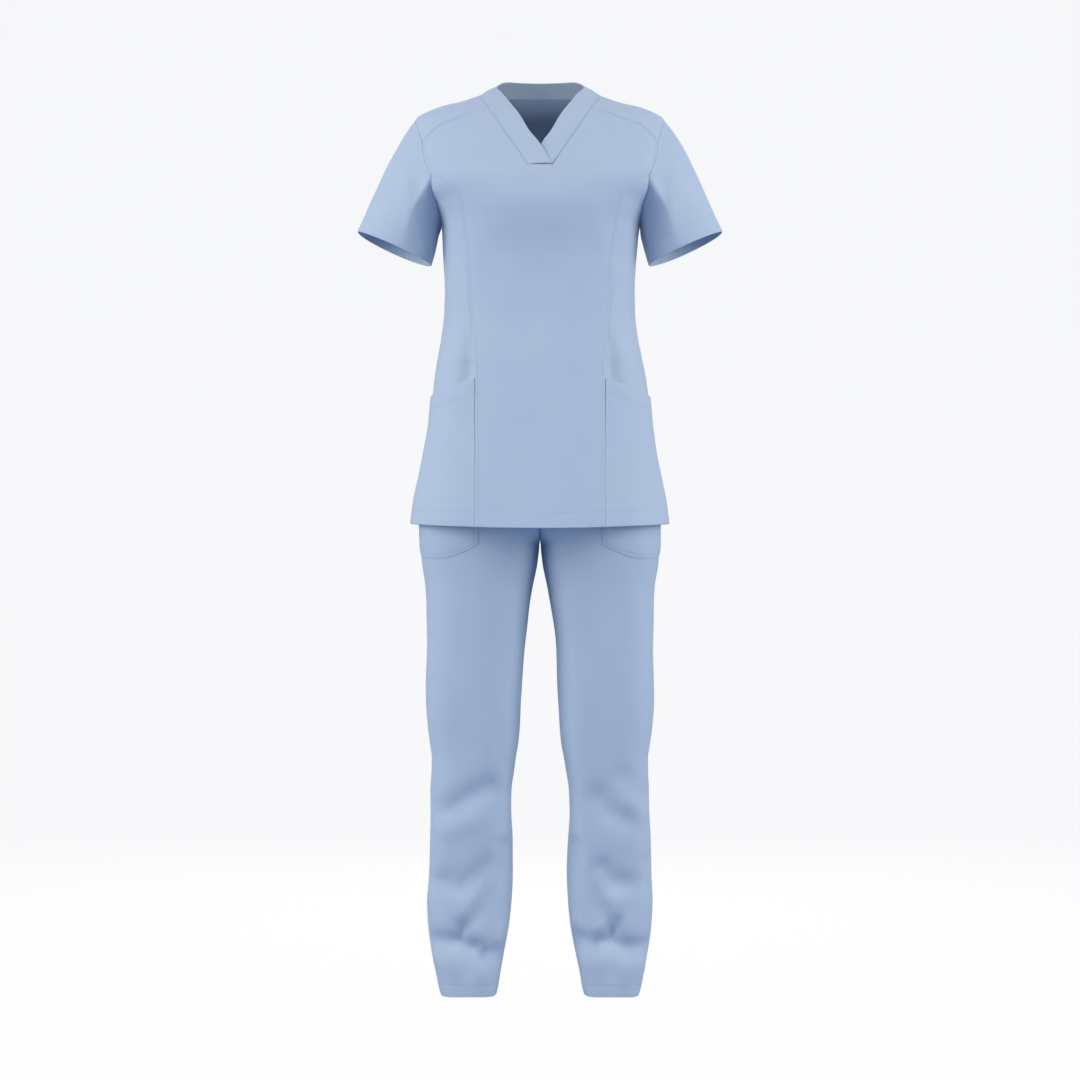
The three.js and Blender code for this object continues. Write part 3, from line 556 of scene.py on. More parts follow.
def fractions(count):
    return np.linspace(0, 1, count * FINE + 1)


# %% The tunic's seams on the wearer's left
POCKET_ROWS = 7
UPPER_ROWS = 10
CHEST_ROWS = 3
BACK_ROWS = 8
YOKE_COLUMNS = 5
SIDE_COLUMNS = 6
NECK_LOW, NECK_FLAT, NECK_HIGH, NECK_BACK = 4, 2, 3, 4

princess_low = [[101, -691], [101, -666], [100.6, -592], [102, -522], POCKET_MOUTH]
princess_waist = [POCKET_MOUTH, [104, -420], [109, -354], [112, -325], [114.5, -260], [118.5, -238]]
princess_chest = [[122, -213], [125, -190], [129, -175], [138, -160], [152, -148], [171, -137]]
princess = joined(
    seam_by_x(princess_low, POCKET_ROWS),
    seam_by_x(princess_waist + princess_chest, UPPER_ROWS),
)
yoke_seam = seam_by_x(
    [[187, -78], [181, -73], [169, -61.5], [153.5, -52], [131, -45], [106, -35], [79, -31.5]],
    YOKE_COLUMNS,
)
neck_low = seam_by_x([[20.2, -129], [37.3, -98.1], [56.3, -67.6], [79, -31.5]], NECK_LOW)
neck_high = seam_by_x([[79, -31.5], [88.5, -8], NECK_POINT], NECK_HIGH)
shoulder = [90, SHOULDER_TIP[1]]
armhole_under = seam_by_angle(
    [[90, ARMPIT_HEIGHT], [79, -198], [71.5, -182], [64.6, -166], [59, -150], [57.6, -137]],
    SIDE_COLUMNS,
)
armhole_chest = seam_by_angle([[57.6, -137], [59.8, -115], [68.5, -78]], CHEST_ROWS)
armhole_yoke = seam_by_angle([[68.5, -78], [76, -57], shoulder], NECK_HIGH)
armhole_low = [[90, ARMPIT_HEIGHT], [103.4, -190], [110.4, -170], [116.6, -146]]
armhole_back = seam_by_angle(armhole_low + [[118, -115], [110.7, -78], shoulder], BACK_ROWS)

# %% Pin the corners, so that three panels meet in one point
chest_corner = princess[-1]
yoke_corner = yoke_seam[0]


def pinned(seam, start=None, end=None):
    """Moves a seam's ends to a shared corner, and the rest of it by less and less."""
    t = np.linspace(0, 1, len(seam))[:, None]
    moved = seam.copy()
    if start is not None:
        moved += (start - seam[0]) * (1 - t) ** 3
    if end is not None:
        moved += (end - seam[-1]) * t**3
    return moved


shoulder_x = SHOULDER_TIP[0] + (NECK_POINT[0] - SHOULDER_TIP[0]) * fractions(YOKE_COLUMNS)
ridge_height = halving(
    np.full_like(shoulder_x, SHOULDER_TIP[1]),
    np.full_like(shoulder_x, TUNIC_FORM["z"][-1]),
    lambda z: tunic_at(z)[0] > shoulder_x,
)
shoulder_seam = points_of(QUARTER, ridge_height)
shoulder_seam[0, 1] = SHOULDER_TIP[1]
shoulder_seam[-1, 1] = NECK_POINT[1]
armhole_under = pinned(armhole_under, end=chest_corner)
armhole_chest = pinned(armhole_chest, start=chest_corner, end=yoke_corner)
armhole_yoke = pinned(armhole_yoke, start=yoke_corner)
neck_high = pinned(neck_high, end=shoulder_seam[-1])
back_turn = fractions(NECK_BACK)
back_rise = BACK_NECK_RISE * np.sin(QUARTER * back_turn) ** 2
back_neck = points_of(QUARTER * (1 + back_turn), NECK_POINT[1] + back_rise)
side_pocket_top = POCKET_MOUTH[1] - POCKET_MOUTH_DROP
side_heights = joined(
    HEM_HEIGHT + (side_pocket_top - HEM_HEIGHT) * fractions(POCKET_ROWS),
    side_pocket_top + (ARMPIT_HEIGHT - side_pocket_top) * fractions(UPPER_ROWS),
)
side_seam = points_of(QUARTER, side_heights)


def hem_line(start, end, count):
    angle = start + (end - start) * fractions(count)
    return points_of(angle, HEM_HEIGHT - HEM_DIP * np.cos(angle) ** 2)


print("princess seam, points:", len(princess))

# %% [markdown]
# ## A panel between four seams
# A panel of cloth fills the space between its four edges. A Coons patch does this: it blends each pair
# of facing edges, adds the two and takes the corners off once. The blend cuts inside a curved form, so
# each point then steps to the nearest point of the form.


# %% Fill between four seams
NEAREST_ROUNDS = 7
LONGEST_STEP = (0.2, 12)


def on_seam(seam, position):
    number = np.arange(len(seam)) / FINE
    return np.interp(position, number, seam[:, 0]), np.interp(position, number, seam[:, 1])


def nearest_on_form(form, target, angle, z):
    """Angle and height of the form's nearest point to each target, from a first guess."""
    for _ in range(NEAREST_ROUNDS):
        along = (form(angle + 0.002, z) - form(angle - 0.002, z)) / 0.004
        up = (form(angle, z + 0.1) - form(angle, z - 0.1)) / 0.2
        miss = target - form(angle, z)
        cross = (along * up).sum(-1)
        a2 = (along**2).sum(-1)
        u2 = (up**2).sum(-1)
        ma = (miss * along).sum(-1)
        mu = (miss * up).sum(-1)
        size = a2 * u2 - cross**2
        angle = angle + np.clip((ma * u2 - mu * cross) / size, -LONGEST_STEP[0], LONGEST_STEP[0])
        z = z + np.clip((mu * a2 - ma * cross) / size, -LONGEST_STEP[1], LONGEST_STEP[1])
    return angle, z


def patch(edges, s, t):
    """Angle and height at position s across and t up, between the bottom, top, left and right seams."""
    bottom, top, left, right = edges
    u = s / ((len(bottom) - 1) / FINE)
    v = t / ((len(left) - 1) / FINE)
    sides = [(1 - v, on_seam(bottom, s)), (v, on_seam(top, s))]
    sides += [(1 - u, on_seam(left, t)), (u, on_seam(right, t))]
    corners = [((1 - u) * (1 - v), bottom[0]), (u * (1 - v), bottom[-1])]
    corners += [((1 - u) * v, top[0]), (u * v, top[-1])]

    def blend(value):
        return sum(value(w, p) for w, p in sides) - sum(value(w, p) for w, p in corners)

    angle = blend(lambda w, p: w * p[0])
    z = blend(lambda w, p: w * p[1])
    space = blend(lambda w, p: w[..., None] * tunic_form(*p))
    return nearest_on_form(tunic_form, space, angle, z)


# %% [markdown]
# ## Even out a crowded place
# Where a panel's edge turns a sharp corner, the lines of a Coons patch can crowd and even cross inside
# it. Moving each point there to the mean of its four neighbours, many times over, spreads them again.
# Points near an edge stay, so that the seam keeps its lines.

# %% Spread crowded lines
EVEN_ROUNDS = 120
KEPT_EDGE = {"width": 7, "fade": 12}


def even_out(panel, centre, reach):
    """Evens out the points of a panel about a place, given as its position across and up."""
    away = ((panel["s"] - centre[0]) / reach[0]) ** 2 + ((panel["t"] - centre[1]) / reach[1]) ** 2
    edge = np.min(panel["distances"], axis=0)
    share = np.exp(-away) * smoothstep((edge - KEPT_EDGE["width"]) / KEPT_EDGE["fade"])
    share = share[1:-1, 1:-1]
    for values in (panel["angle"], panel["z"]):
        for _ in range(EVEN_ROUNDS):
            mean = (values[:-2, 1:-1] + values[2:, 1:-1] + values[1:-1, :-2] + values[1:-1, 2:]) / 4
            values[1:-1, 1:-1] += share * (mean - values[1:-1, 1:-1])


# %% [markdown]
# ## Where the points go
# A seam rolls in over its last millimetre and a line of stitches dents the cloth by a fraction of one,
# so the points stand close together there and some four millimetres apart elsewhere. Each edge of a
# panel lists the distances at which it wants a line of points.

# %% Space the lines of a panel
ROLL_LINES = (0, 0.1, 0.3, 0.6, 1.4)
DENT = 0.9


def edge_lines(*stitches):
    """Distances from an edge: the rolled edge itself, then a dent about each line of stitches."""
    lines = list(ROLL_LINES)
    for distance in stitches:
        lines += [distance + k * DENT for k in range(-2, 3)]
    return np.array(sorted(line for line in lines if line >= 0))


def positions(low, high, first, last, intervals, per):
    """Positions of the lines across a panel, from 0 to intervals, for each of the panel's cross lines."""
    rest = np.linspace(0, 1, per + 1)[1:]
    sides = []
    for lines, width in ((low, first), (high, last)):
        side = lines / np.asarray(width)[:, None]
        sides.append(np.concatenate([side, side[:, -1:] + (1 - side[:, -1:]) * rest], 1))
    start, end = sides
    middle = 1 + np.arange(1, (intervals - 2) * per) / per
    middle = np.repeat(middle[None], len(start), 0)
    return np.concatenate([start, middle, (intervals - end)[:, ::-1]], 1)


def spaced(low, high, length, count):
    """Distances down lines of given lengths: the lines of both edges, and count even ones between."""
    first, last = low[-1], length - high[-1]
    even = np.linspace(0, 1, count + 2)[1:-1, None]
    start = np.repeat(low[:, None], len(length), 1)
    return np.concatenate([start, first + (last - first) * even, length - high[::-1, None]])


print("lines beside a seam with stitches at 6 mm:", edge_lines(6))

# %% [markdown]
# ## Cloth with a thickness
# Each sheet is a closed shell: an outer face, an inner face and a thin rim. At a seam both faces roll
# in, so two panels meet in a fine groove. At a hem the cloth is folded up inside, so the edge is round
# and the shell is thicker up to the line of stitches.

# %% Give a sheet its relief
CLOTH = 1.3
HEM_EXTRA = 0.8
SEAM_ROLL = 0.6
FOLD_ROLL = 0.8
STITCH_DENT = 0.28
SEAM_ALLOWANCE = {"lift": 0.22, "start": 1.5, "before": 0.6, "fade": 1.2}
HEM_LIFT = 0.1
HEM_END = {"after": 1, "fade": 1.5}
THREAD_LIFT = 0.1


def rolled(distance, radius):
    inside = np.clip(radius - distance, 0, radius)
    return radius - np.sqrt(radius**2 - inside**2)


def seam_edge(stitch=None):
    return {"hem": False, "stitch": stitch}


def hem_edge(stitch):
    return {"hem": True, "stitch": stitch}


def relief(edges):
    """How far the outer face moves out, and how thick the cloth is, from the distances to its edges."""
    out = 0
    drop = 0
    thickness = CLOTH
    for edge, distance in edges:
        hem, stitch = edge["hem"], edge["stitch"]
        drop = np.maximum(drop, rolled(distance, FOLD_ROLL if hem else SEAM_ROLL))
        if stitch:
            beyond = distance - stitch
            allowance = SEAM_ALLOWANCE
            beside = smoothstep(distance / allowance["start"])
            beside = beside * (1 - smoothstep((beyond + allowance["before"]) / allowance["fade"]))
            out = out + (HEM_LIFT if hem else allowance["lift"]) * beside
            out = out - STITCH_DENT * np.exp(-((beyond / DENT) ** 2))
        if hem:
            fold = 1 - smoothstep((beyond - HEM_END["after"]) / HEM_END["fade"]) if stitch else 1
            thickness = thickness + HEM_EXTRA * fold
    return out - drop, thickness - drop


# %% Make a mesh from a grid
pieces = {}


def shell(node, name, cut, ring=False, shaded_inside=False):
    """A closed shell over two grids of points, for a solid. A ring joins its last column to its first."""
    rows, columns = cut["outer"].shape[:2]
    count = rows * columns
    number = np.arange(count).reshape(rows, columns)
    if ring:
        number = np.concatenate([number, number[:, :1]], 1)
    a, b, c, d = number[:-1, :-1], number[:-1, 1:], number[1:, 1:], number[1:, :-1]
    front = np.stack([a, b, c, d], -1).reshape(-1, 4)
    back = front[:, ::-1] + count
    rims = [(number[0, 1:], number[0, :-1]), (number[-1, :-1], number[-1, 1:])]
    if not ring:
        rims += [(number[:-1, 0], number[1:, 0]), (number[1:, -1], number[:-1, -1])]
    around = [np.stack([p, q, q + count, p + count], -1) for p, q in rims]
    faces = np.vstack([front, back, *around])
    mesh = bpy.data.meshes.new(name)
    points = np.concatenate([cut["outer"].reshape(-1, 3), cut["inner"].reshape(-1, 3)]) * MM
    mesh.from_pydata(points.tolist(), [], faces.tolist())
    layer = mesh.uv_layers.new(name="cloth_uv")
    corner = np.zeros(len(mesh.loops), np.int32)
    mesh.loops.foreach_get("vertex_index", corner)
    flat = np.tile(cut["uv"].reshape(-1, 2), (2, 1)) * MM
    layer.data.foreach_set("uv", flat[corner].astype(np.float32).ravel())
    mesh.polygons.foreach_set("use_smooth", np.ones(len(mesh.polygons), bool))
    mesh.materials.append(CLOTHS[node.split("_")[0]])
    # The inner faces can get the darker cloth, which is painted shade for the dim inside of the tunic.
    if shaded_inside:
        mesh.materials.append(painted_shade_inside)
        turned_in = np.arange(len(faces)) // len(front) == 1
        mesh.polygons.foreach_set("material_index", turned_in.astype(np.int32))
    mesh.validate()
    pieces[node] = placed(name, mesh)


def cloth_map(points):
    """A UV map in millimetres: along the rows from their middle, and up by height."""
    run = run_along(points, axis=1)
    run = run - run[:, run.shape[1] // 2, None]
    return points_of(run, points[..., 2])


# %% [markdown]
# ## Small unevenness
# No sewn garment hangs perfectly smooth. A few slow waves, the same on both sides of every seam, move
# the cloth, mostly by less than a millimetre, and stop the light from lying on it like on plastic.

# %% Waves across the cloth
WAVE_SLANT = 0.6
WAVES = table(
    "x_length z_length phase height",
    [
        [210, 330, 0.4, 0.5],
        [-140, 260, 1.9, 0.4],
        [95, -170, 3.1, 0.3],
        [-70, -120, 5.0, 0.2],
        [52, 88, 2.2, 0.13],
    ],
)


def waves(points, size=1.0):
    total = 0
    for x_length, z_length, phase, height in zip(*WAVES.values()):
        turns = (points[..., 0] + WAVE_SLANT * points[..., 1]) / x_length + points[..., 2] / z_length
        total = total + height * np.sin(TURN * turns + phase)
    return size * total


# %% Cut a panel of the tunic
THINNEST = 0.15


def tunic_panel(edges, kinds, per, rows=None):
    """Points of a panel. kinds says how its bottom, top, left and right edges are finished."""
    bottom, top, left, right = edges
    columns = (len(bottom) - 1) // FINE
    up_to = rows or (len(left) - 1) // FINE
    coarse_t, coarse_s = np.mgrid[0 : up_to + 1, 0 : columns + 1].astype(float)
    coarse = tunic_form(*patch(edges, coarse_s, coarse_t))
    across = np.linalg.norm(np.diff(coarse, axis=1), axis=-1)
    upward = np.linalg.norm(np.diff(coarse, axis=0), axis=-1)
    lines = [edge_lines(*[kind["stitch"]] if kind["stitch"] else []) for kind in kinds]
    t_mean = positions(*lines[:2], [upward[0].mean()], [upward[-1].mean()], up_to, per[1])[0]
    first, last = [np.interp(t_mean, np.arange(up_to + 1), across[:, k]) for k in (0, -1)]
    s = positions(*lines[2:], first, last, columns, per[0])
    low, high = [np.interp(s.mean(0), np.arange(columns + 1), upward[k]) for k in (0, -1)]
    t = positions(*lines[:2], low, high, up_to, per[1]).T
    angle, z = patch(edges, s, t)
    distances = [t * low, (up_to - t) * high, s * first[:, None], (columns - s) * last[:, None]]
    return {"angle": angle, "z": z, "s": s, "t": t, "distances": distances, "lines": lines}


def sewn(panel, kinds, form, side=1, base=0.0, lowest=None):
    """Outer and inner points of a panel on its form, with its relief. side -1 is the wearer's right."""
    angle, z = panel["angle"], panel["z"]
    move = (side, 1, 1)
    place = form(angle, z) * move
    normal = form_normal(form, angle, z) * move
    out, thickness = relief(list(zip(kinds, panel["distances"])))
    out = out + base
    under = base - thickness
    if lowest is not None:
        under = np.maximum(under, lowest)
    out = out + waves(place)
    under = np.minimum(under + waves(place), out - THINNEST)
    cut = {
        "outer": place + normal * out[..., None],
        "inner": place + normal * under[..., None],
        "uv": cloth_map(place),
        "normal": normal,
    }
    return {name: values[:, ::side] for name, values in cut.items()}


stitch_lines = {"tunic": [], "trousers": []}


def keep_stitches(garment, cut, kinds, lines, side=1):
    """Notes each line of stitches of a cut panel, edge by edge: bottom, top, left and right."""
    outer = (cut["outer"] + cut["normal"] * THREAD_LIFT)[:, ::side]
    for edge, kind in enumerate(kinds):
        if kind["stitch"]:
            k = list(lines[edge]).index(kind["stitch"])
            line = (outer[k], outer[-1 - k], outer[:, k], outer[:, -1 - k])[edge]
            stitch_lines[garment].append((line, False))


print("ready to cut")

# %% [markdown]
# ## The front of the tunic
# The front is three panels: a centre panel from the neck to the hem, and a side panel on each side that
# ends in the armhole. The princess seams between them shape the bust and the waist, and a line of
# stitches holds the seam allowance down on the centre panel.

# %% Cut the front centre
TUNIC_HEM = 23
PRINCESS_STITCH = 6
EDGE_STITCH = 2
CROWDED_ROW = 16
CROWDED_REACH = (2.2, 2.4)
# Lines across and up a panel for each step between two corners of its solid.
LINES = {"centre": (4, 9), "side": (5, 9), "yoke": (6, 5), "back": (5, 8)}
SIDES = {1: "_left", -1: "_right"}
MIDDLE = {1: ""}


def cut_out(name, panel, kinds, form=tunic, words=SIDES, shaded_inside=True, stitched=True, **lie):
    """Makes a piece of the tunic from a panel, on both sides or once in the middle."""
    for side, word in words.items():
        cut = sewn(panel, kinds, form, side, **lie)
        shell("tunic_" + name + word, name + word, cut, shaded_inside=shaded_inside)
        if stitched:
            keep_stitches("tunic", cut, kinds, panel["lines"], side)
    print(name, "points:", cut["outer"].shape)


def flipped(edges):
    """The same panel with its left and right edges changed over, so that its rows run left to right."""
    bottom, top, left, right = edges
    return bottom[::-1], top[::-1], right, left


centre_left = joined(princess, armhole_chest)
neck_corner = neck_low[0]
neck_flat = points_of(neck_corner[0] * (1 - 2 * fractions(NECK_FLAT)), neck_corner[1])
half_top = joined(yoke_seam, neck_low[::-1])
centre_top = joined(half_top, neck_flat, across_body(half_top)[::-1])
centre_columns = (len(centre_top) - 1) // FINE
centre_bottom = hem_line(princess[0, 0], -princess[0, 0], centre_columns)
centre_bottom[[0, -1], 1] = princess[0, 1]
centre_edges = flipped((centre_bottom, centre_top, centre_left, across_body(centre_left)))
centre_kinds = [hem_edge(TUNIC_HEM), seam_edge(EDGE_STITCH)] + 2 * [seam_edge(PRINCESS_STITCH)]
centre_panel = tunic_panel(centre_edges, centre_kinds, LINES["centre"])
for corner in (YOKE_COLUMNS, centre_columns - YOKE_COLUMNS):
    even_out(centre_panel, (corner, CROWDED_ROW), CROWDED_REACH)
cut_out("front_centre", centre_panel, centre_kinds, words=MIDDLE)

# %% Cut the front sides
side_bottom = hem_line(princess[0, 0], QUARTER, SIDE_COLUMNS)
side_bottom[0, 1] = princess[0, 1]
side_edges = (side_bottom, armhole_under[::-1], princess, side_seam)
side_kinds = [hem_edge(TUNIC_HEM), seam_edge(), seam_edge(), seam_edge()]
side_panel = tunic_panel(side_edges, side_kinds, LINES["side"])
cut_out("front_side", side_panel, side_kinds, tunic_side, stitched=False)

# %% [markdown]
# ## Hip pockets
# A patch pocket lies on each side panel. The princess seam, the side seam and the hem hold three of its
# edges, and its slanted mouth is a hem that stands a few millimetres open, most of all in its middle.
# The pocket lies close to the panel at its seams, and the hem's stitches hold both.

# %% Cut the hip pockets
POCKET_HEM = 25
POCKET_BASE = 1.65
SEAM_BASE = 0.6
PRESSED = 9
PANEL_GAP = 0.06
POCKET_SLACK = {"most": 3.0, "from": 0.12, "to": 0.88}
pocket_kinds = [hem_edge(TUNIC_HEM), hem_edge(POCKET_HEM), seam_edge(), seam_edge()]
pocket_panel = tunic_panel(side_edges, pocket_kinds, LINES["side"], rows=POCKET_ROWS)
pocket_up = pocket_panel["t"] / POCKET_ROWS
pocket_across = pocket_panel["s"] / SIDE_COLUMNS
slack_width = POCKET_SLACK["to"] - POCKET_SLACK["from"]
swell = np.sin(math.pi * (POCKET_SLACK["from"] + slack_width * pocket_across))
pocket_seam = np.minimum(pocket_panel["distances"][2], pocket_panel["distances"][3])
pocket_base = SEAM_BASE + (POCKET_BASE - SEAM_BASE) * smoothstep(pocket_seam / PRESSED)
pocket_base = pocket_base + POCKET_SLACK["most"] * pocket_up**2 * swell
panel_below = PANEL_GAP - rolled(pocket_seam, SEAM_ROLL)
cut_out("hip_pocket", pocket_panel, pocket_kinds, shaded_inside=False, base=pocket_base, lowest=panel_below)

# %% [markdown]
# ## Yokes and back
# The forward yoke carries the weight of the front over the shoulder. The back is one wide panel from
# hem to neck, plain but for the soft hollow of the lower back.

# %% Cut the yokes
yoke_edges = flipped((yoke_seam, shoulder_seam, armhole_yoke, neck_high))
yoke_kinds = [seam_edge(EDGE_STITCH), seam_edge(), seam_edge(), seam_edge()]
yoke_panel = tunic_panel(yoke_edges, yoke_kinds, LINES["yoke"])
cut_out("front_yoke", yoke_panel, yoke_kinds)


# %% Cut the back
def turned(seam):
    return points_of(TURN - seam[:, 0], seam[:, 1])


back_left = joined(side_seam, armhole_back)
half_back = joined(shoulder_seam, back_neck)
back_top = joined(half_back, turned(half_back)[::-1])
back_bottom = hem_line(QUARTER, 3 * QUARTER, (len(back_top) - 1) // FINE)
back_edges = (back_bottom, back_top, back_left, turned(back_left))
back_kinds = [hem_edge(TUNIC_HEM), seam_edge(EDGE_STITCH), seam_edge(), seam_edge()]
back_panel = tunic_panel(back_edges, back_kinds, LINES["back"])
cut_out("back", back_panel, back_kinds, words=MIDDLE)

# %% [markdown]
# ## Sleeves
# A set-in sleeve is a tube from the armhole to the cuff. Every line of it leaves the armhole in the
# direction of the shoulder's cloth and arrives at the cuff along the arm, so a curve with two end
# directions draws each one. The cap is round on top and flat under the arm.

# %% Draw the sleeve
CUFF_OUTER = np.array([292.5, 0, -217.6])
CUFF_INNER = np.array([174, 0, -270.7])
CUFF_DEPTH = 60
CUFF_BACK_DROP = 3.5
CUFF_ROUNDING = 0.5
CAP_ROUNDING = 0.62
CAP_SLOPE = np.array([0.73, 0, -0.71])
CAP_REACH = 0.4
AWAY_REACH = 5
SLEEVE_HEM = 25
SLEEVE_STEP = 3.6

arm_front = joined(armhole_under, armhole_chest, armhole_yoke)
arm_loop = joined(arm_front, armhole_back[::-1])[:-1]
tip = len(arm_front) - 1
ring_place = tunic(*arm_loop.T)
ring_normal = form_normal(tunic, *arm_loop.T)
chord = np.roll(ring_place, -FINE // 2, 0) - np.roll(ring_place, FINE // 2, 0)
ring_away = unit(np.cross(chord, ring_normal))
ring_away = unit(sum(np.roll(ring_away, k, 0) for k in range(-AWAY_REACH, AWAY_REACH + 1)))
run = run_along(np.vstack([ring_place, ring_place[:1]]))
down_front = (run[tip] - run[: tip + 1]) / run[tip]
down_back = (run[tip + 1 : -1] - run[tip]) / (run[-1] - run[tip])
fraction = np.concatenate([down_front, down_back])
cuff_centre = (CUFF_OUTER + CUFF_INNER) / 2
across_cuff = CUFF_OUTER - cuff_centre
down_arm = unit(np.array([across_cuff[2], 0, -across_cuff[0]]))
face = np.where(np.arange(len(fraction)) <= tip, -1, 1)
turn = math.pi * fraction[:, None]
end = cuff_centre + across_cuff * np.cos(turn)
end[:, 1] = face * CUFF_DEPTH * np.sin(turn[:, 0])
end += np.where(face > 0, CUFF_BACK_DROP, 0)[:, None] * np.sin(turn) * down_arm
straight = end - ring_place
length = np.linalg.norm(straight, axis=1, keepdims=True)
straight = straight / length
near_top = (1 - smoothstep(fraction / CAP_REACH))[:, None]
sideways = unit(ring_away * (1, 0, 1))
sideways = sideways + (CAP_SLOPE - sideways) * near_top
leave_share = (CAP_ROUNDING * (1 - fraction))[:, None]
leave = unit(straight + (sideways - straight) * leave_share) * length
arrive = unit(straight + (down_arm - straight) * CUFF_ROUNDING) * length
print("armhole, mm round:", run[-1].round())

# %% Place the sleeve's points
COARSE_ROWS = 60
ROWS_AT_EDGES = 8
SLOPE_STEP = 0.01
UNDERARM_SEAM = {"depth": 0.7, "width": 1.6}
ring_run = np.linspace(0, run[-1], int(run[-1] / SLEEVE_STEP))[:-1]


def round_ring(values):
    closed = np.concatenate([values, values[:1]])
    return np.stack([np.interp(ring_run, run, closed[:, k]) for k in range(3)], -1)


ends = [round_ring(values)[None] for values in (ring_place, leave, end, arrive)]
coarse_t = np.linspace(0, 1, COARSE_ROWS)
line_run = run_along(eased(coarse_t[:, None, None], *ends))
line_length = line_run[-1]
sleeve_lines = edge_lines(SLEEVE_HEM)
even_rows = int(line_length.mean() / SLEEVE_STEP) - ROWS_AT_EDGES
distance_down = spaced(edge_lines(), sleeve_lines, line_length, even_rows)
sleeve_t = [np.interp(down, line, coarse_t) for down, line in zip(distance_down.T, line_run.T)]
sleeve_t = np.stack(sleeve_t, 1)[..., None]
sleeve_place = eased(sleeve_t, *ends)
along = np.roll(sleeve_place, -1, 1) - np.roll(sleeve_place, 1, 1)
below = eased(np.minimum(sleeve_t + SLOPE_STEP, 1), *ends)
above = eased(np.maximum(sleeve_t - SLOPE_STEP, 0), *ends)
sleeve_normal = -unit(np.cross(along, below - above))
underarm = np.minimum(ring_run, run[-1] - ring_run)
seam_dent = -UNDERARM_SEAM["depth"] * np.exp(-((underarm / UNDERARM_SEAM["width"]) ** 2))
print("sleeve, points:", sleeve_place.shape)

# %% Cut the sleeves
SLEEVE_FOLDS = [
    fold(0, -1, -2.6, 13, [[196, -150], [190, -190], [188, -232]]),
    fold(0, -1, 1.6, 12, [[214, -128], [208, -176], [206, -222]]),
    fold(0, 1, -3.0, 14, [[198, -146], [192, -196], [190, -236]]),
    fold(0, 1, 1.8, 12, [[222, -140], [214, -196]]),
]
SEAM_REACH = 20
WAVE_SHARE = 0.8
WAVE_START = 12
FOLD_START = 25
sleeve_edges = [(seam_edge(), distance_down), (hem_edge(SLEEVE_HEM), line_length - distance_down)]
sleeve_out, sleeve_thick = relief(sleeve_edges)
sleeve_soft = fold_depth(SLEEVE_FOLDS, 0, sleeve_place) * smoothstep(distance_down / FOLD_START)
armhole_normal = unit(round_ring(ring_normal))
at_armhole = (1 - smoothstep(distance_down / SEAM_REACH))[..., None]
hem_row = len(distance_down) - 1 - list(sleeve_lines).index(SLEEVE_HEM)
for side, word in SIDES.items():
    move = (side, 1, 1)
    soft = sleeve_soft + waves(sleeve_place * move, WAVE_SHARE) * smoothstep(distance_down / WAVE_START)
    out = sleeve_out + soft + seam_dent
    under = np.minimum(soft - sleeve_thick, out - THINNEST)
    # At the armhole the sleeve follows the waves of the panels that it is sewn to.
    followed = armhole_normal * move * waves(sleeve_place[0] * move)[:, None] * at_armhole
    outer = (sleeve_place + sleeve_normal * out[..., None]) * move + followed
    inner = (sleeve_place + sleeve_normal * under[..., None]) * move + followed
    stitch_lines["tunic"].append((outer[hem_row], True))
    cut = {"outer": outer, "inner": inner, "uv": points_of(ring_run, -distance_down)}
    if side > 0:
        cut = {name: values[::-1] for name, values in cut.items()}
    shell("tunic_sleeve" + word, "sleeve" + word, cut, ring=True)
print("sleeve hem, mm round:", run_along(outer[hem_row])[-1].round())

# %% [markdown]
# ## The neck band
# The band is a folded strip that stands up round the neck. Its outer edge is the neck seam, its inner
# edge a fold. Its two ends lap at the V: the wearer's right end lies on top, the left is tucked behind.

# %% Draw the band
BAND_CLOTH = 1.8
BAND_BOW = 2
BAND_ROWS = 7
BAND_ROLL = {"outside": 0.9, "end": 0.7, "under_edge": 0.85, "under_seam": 1.2}
BAND_EDGE = np.array(
    [
        [-18, -121.5, -127.5],
        [1, -102.5, -91.5],
        [17.3, -87.5, -68.5],
        [33, -63, -38.5],
        [51.6, -31, -10.5],
        [59, -18, 0.5],
        [66, -5, 9.5],
        [70, 5, 15],
        [67.5, 20, 22.5],
        [56, 38, 29.5],
        [31, 59, 32.3],
        [0, 67, 33],
    ]
)
LAP_TUCK = {"seam": [2.4, 0], "middle": [2.4, 2.2, 0], "edge": [2.4, 2.3, 0]}
LAP_STAND = {"most": 1.1, "reach": 34, "steepness": 1.6, "start": 0.5}


def both_sides(values):
    return np.vstack([values, (values * (-1, 1, 1))[::-1][1:]])


neck_half = joined(neck_low, neck_high, back_neck)
band_seam = both_sides(tunic(*neck_half.T))
edge_ends = np.vstack([2 * BAND_EDGE[0] - BAND_EDGE[1], BAND_EDGE, BAND_EDGE[-2] * (-1, 1, 1)])
band_edge = both_sides(smooth_through(edge_ends, np.arange(FINE)[:, None] / FINE))
band_width = np.linalg.norm(band_edge - band_seam, axis=1)
print("band, lines:", len(band_seam), "greatest width, mm:", band_width.max().round(1))


# %% Cut the band
def smoothed_line(values, reach=6):
    padded = np.concatenate([np.repeat(values[:1], reach, 0), values, np.repeat(values[-1:], reach, 0)])
    return sum(padded[k : k + len(values)] for k in range(2 * reach + 1)) / (2 * reach + 1)


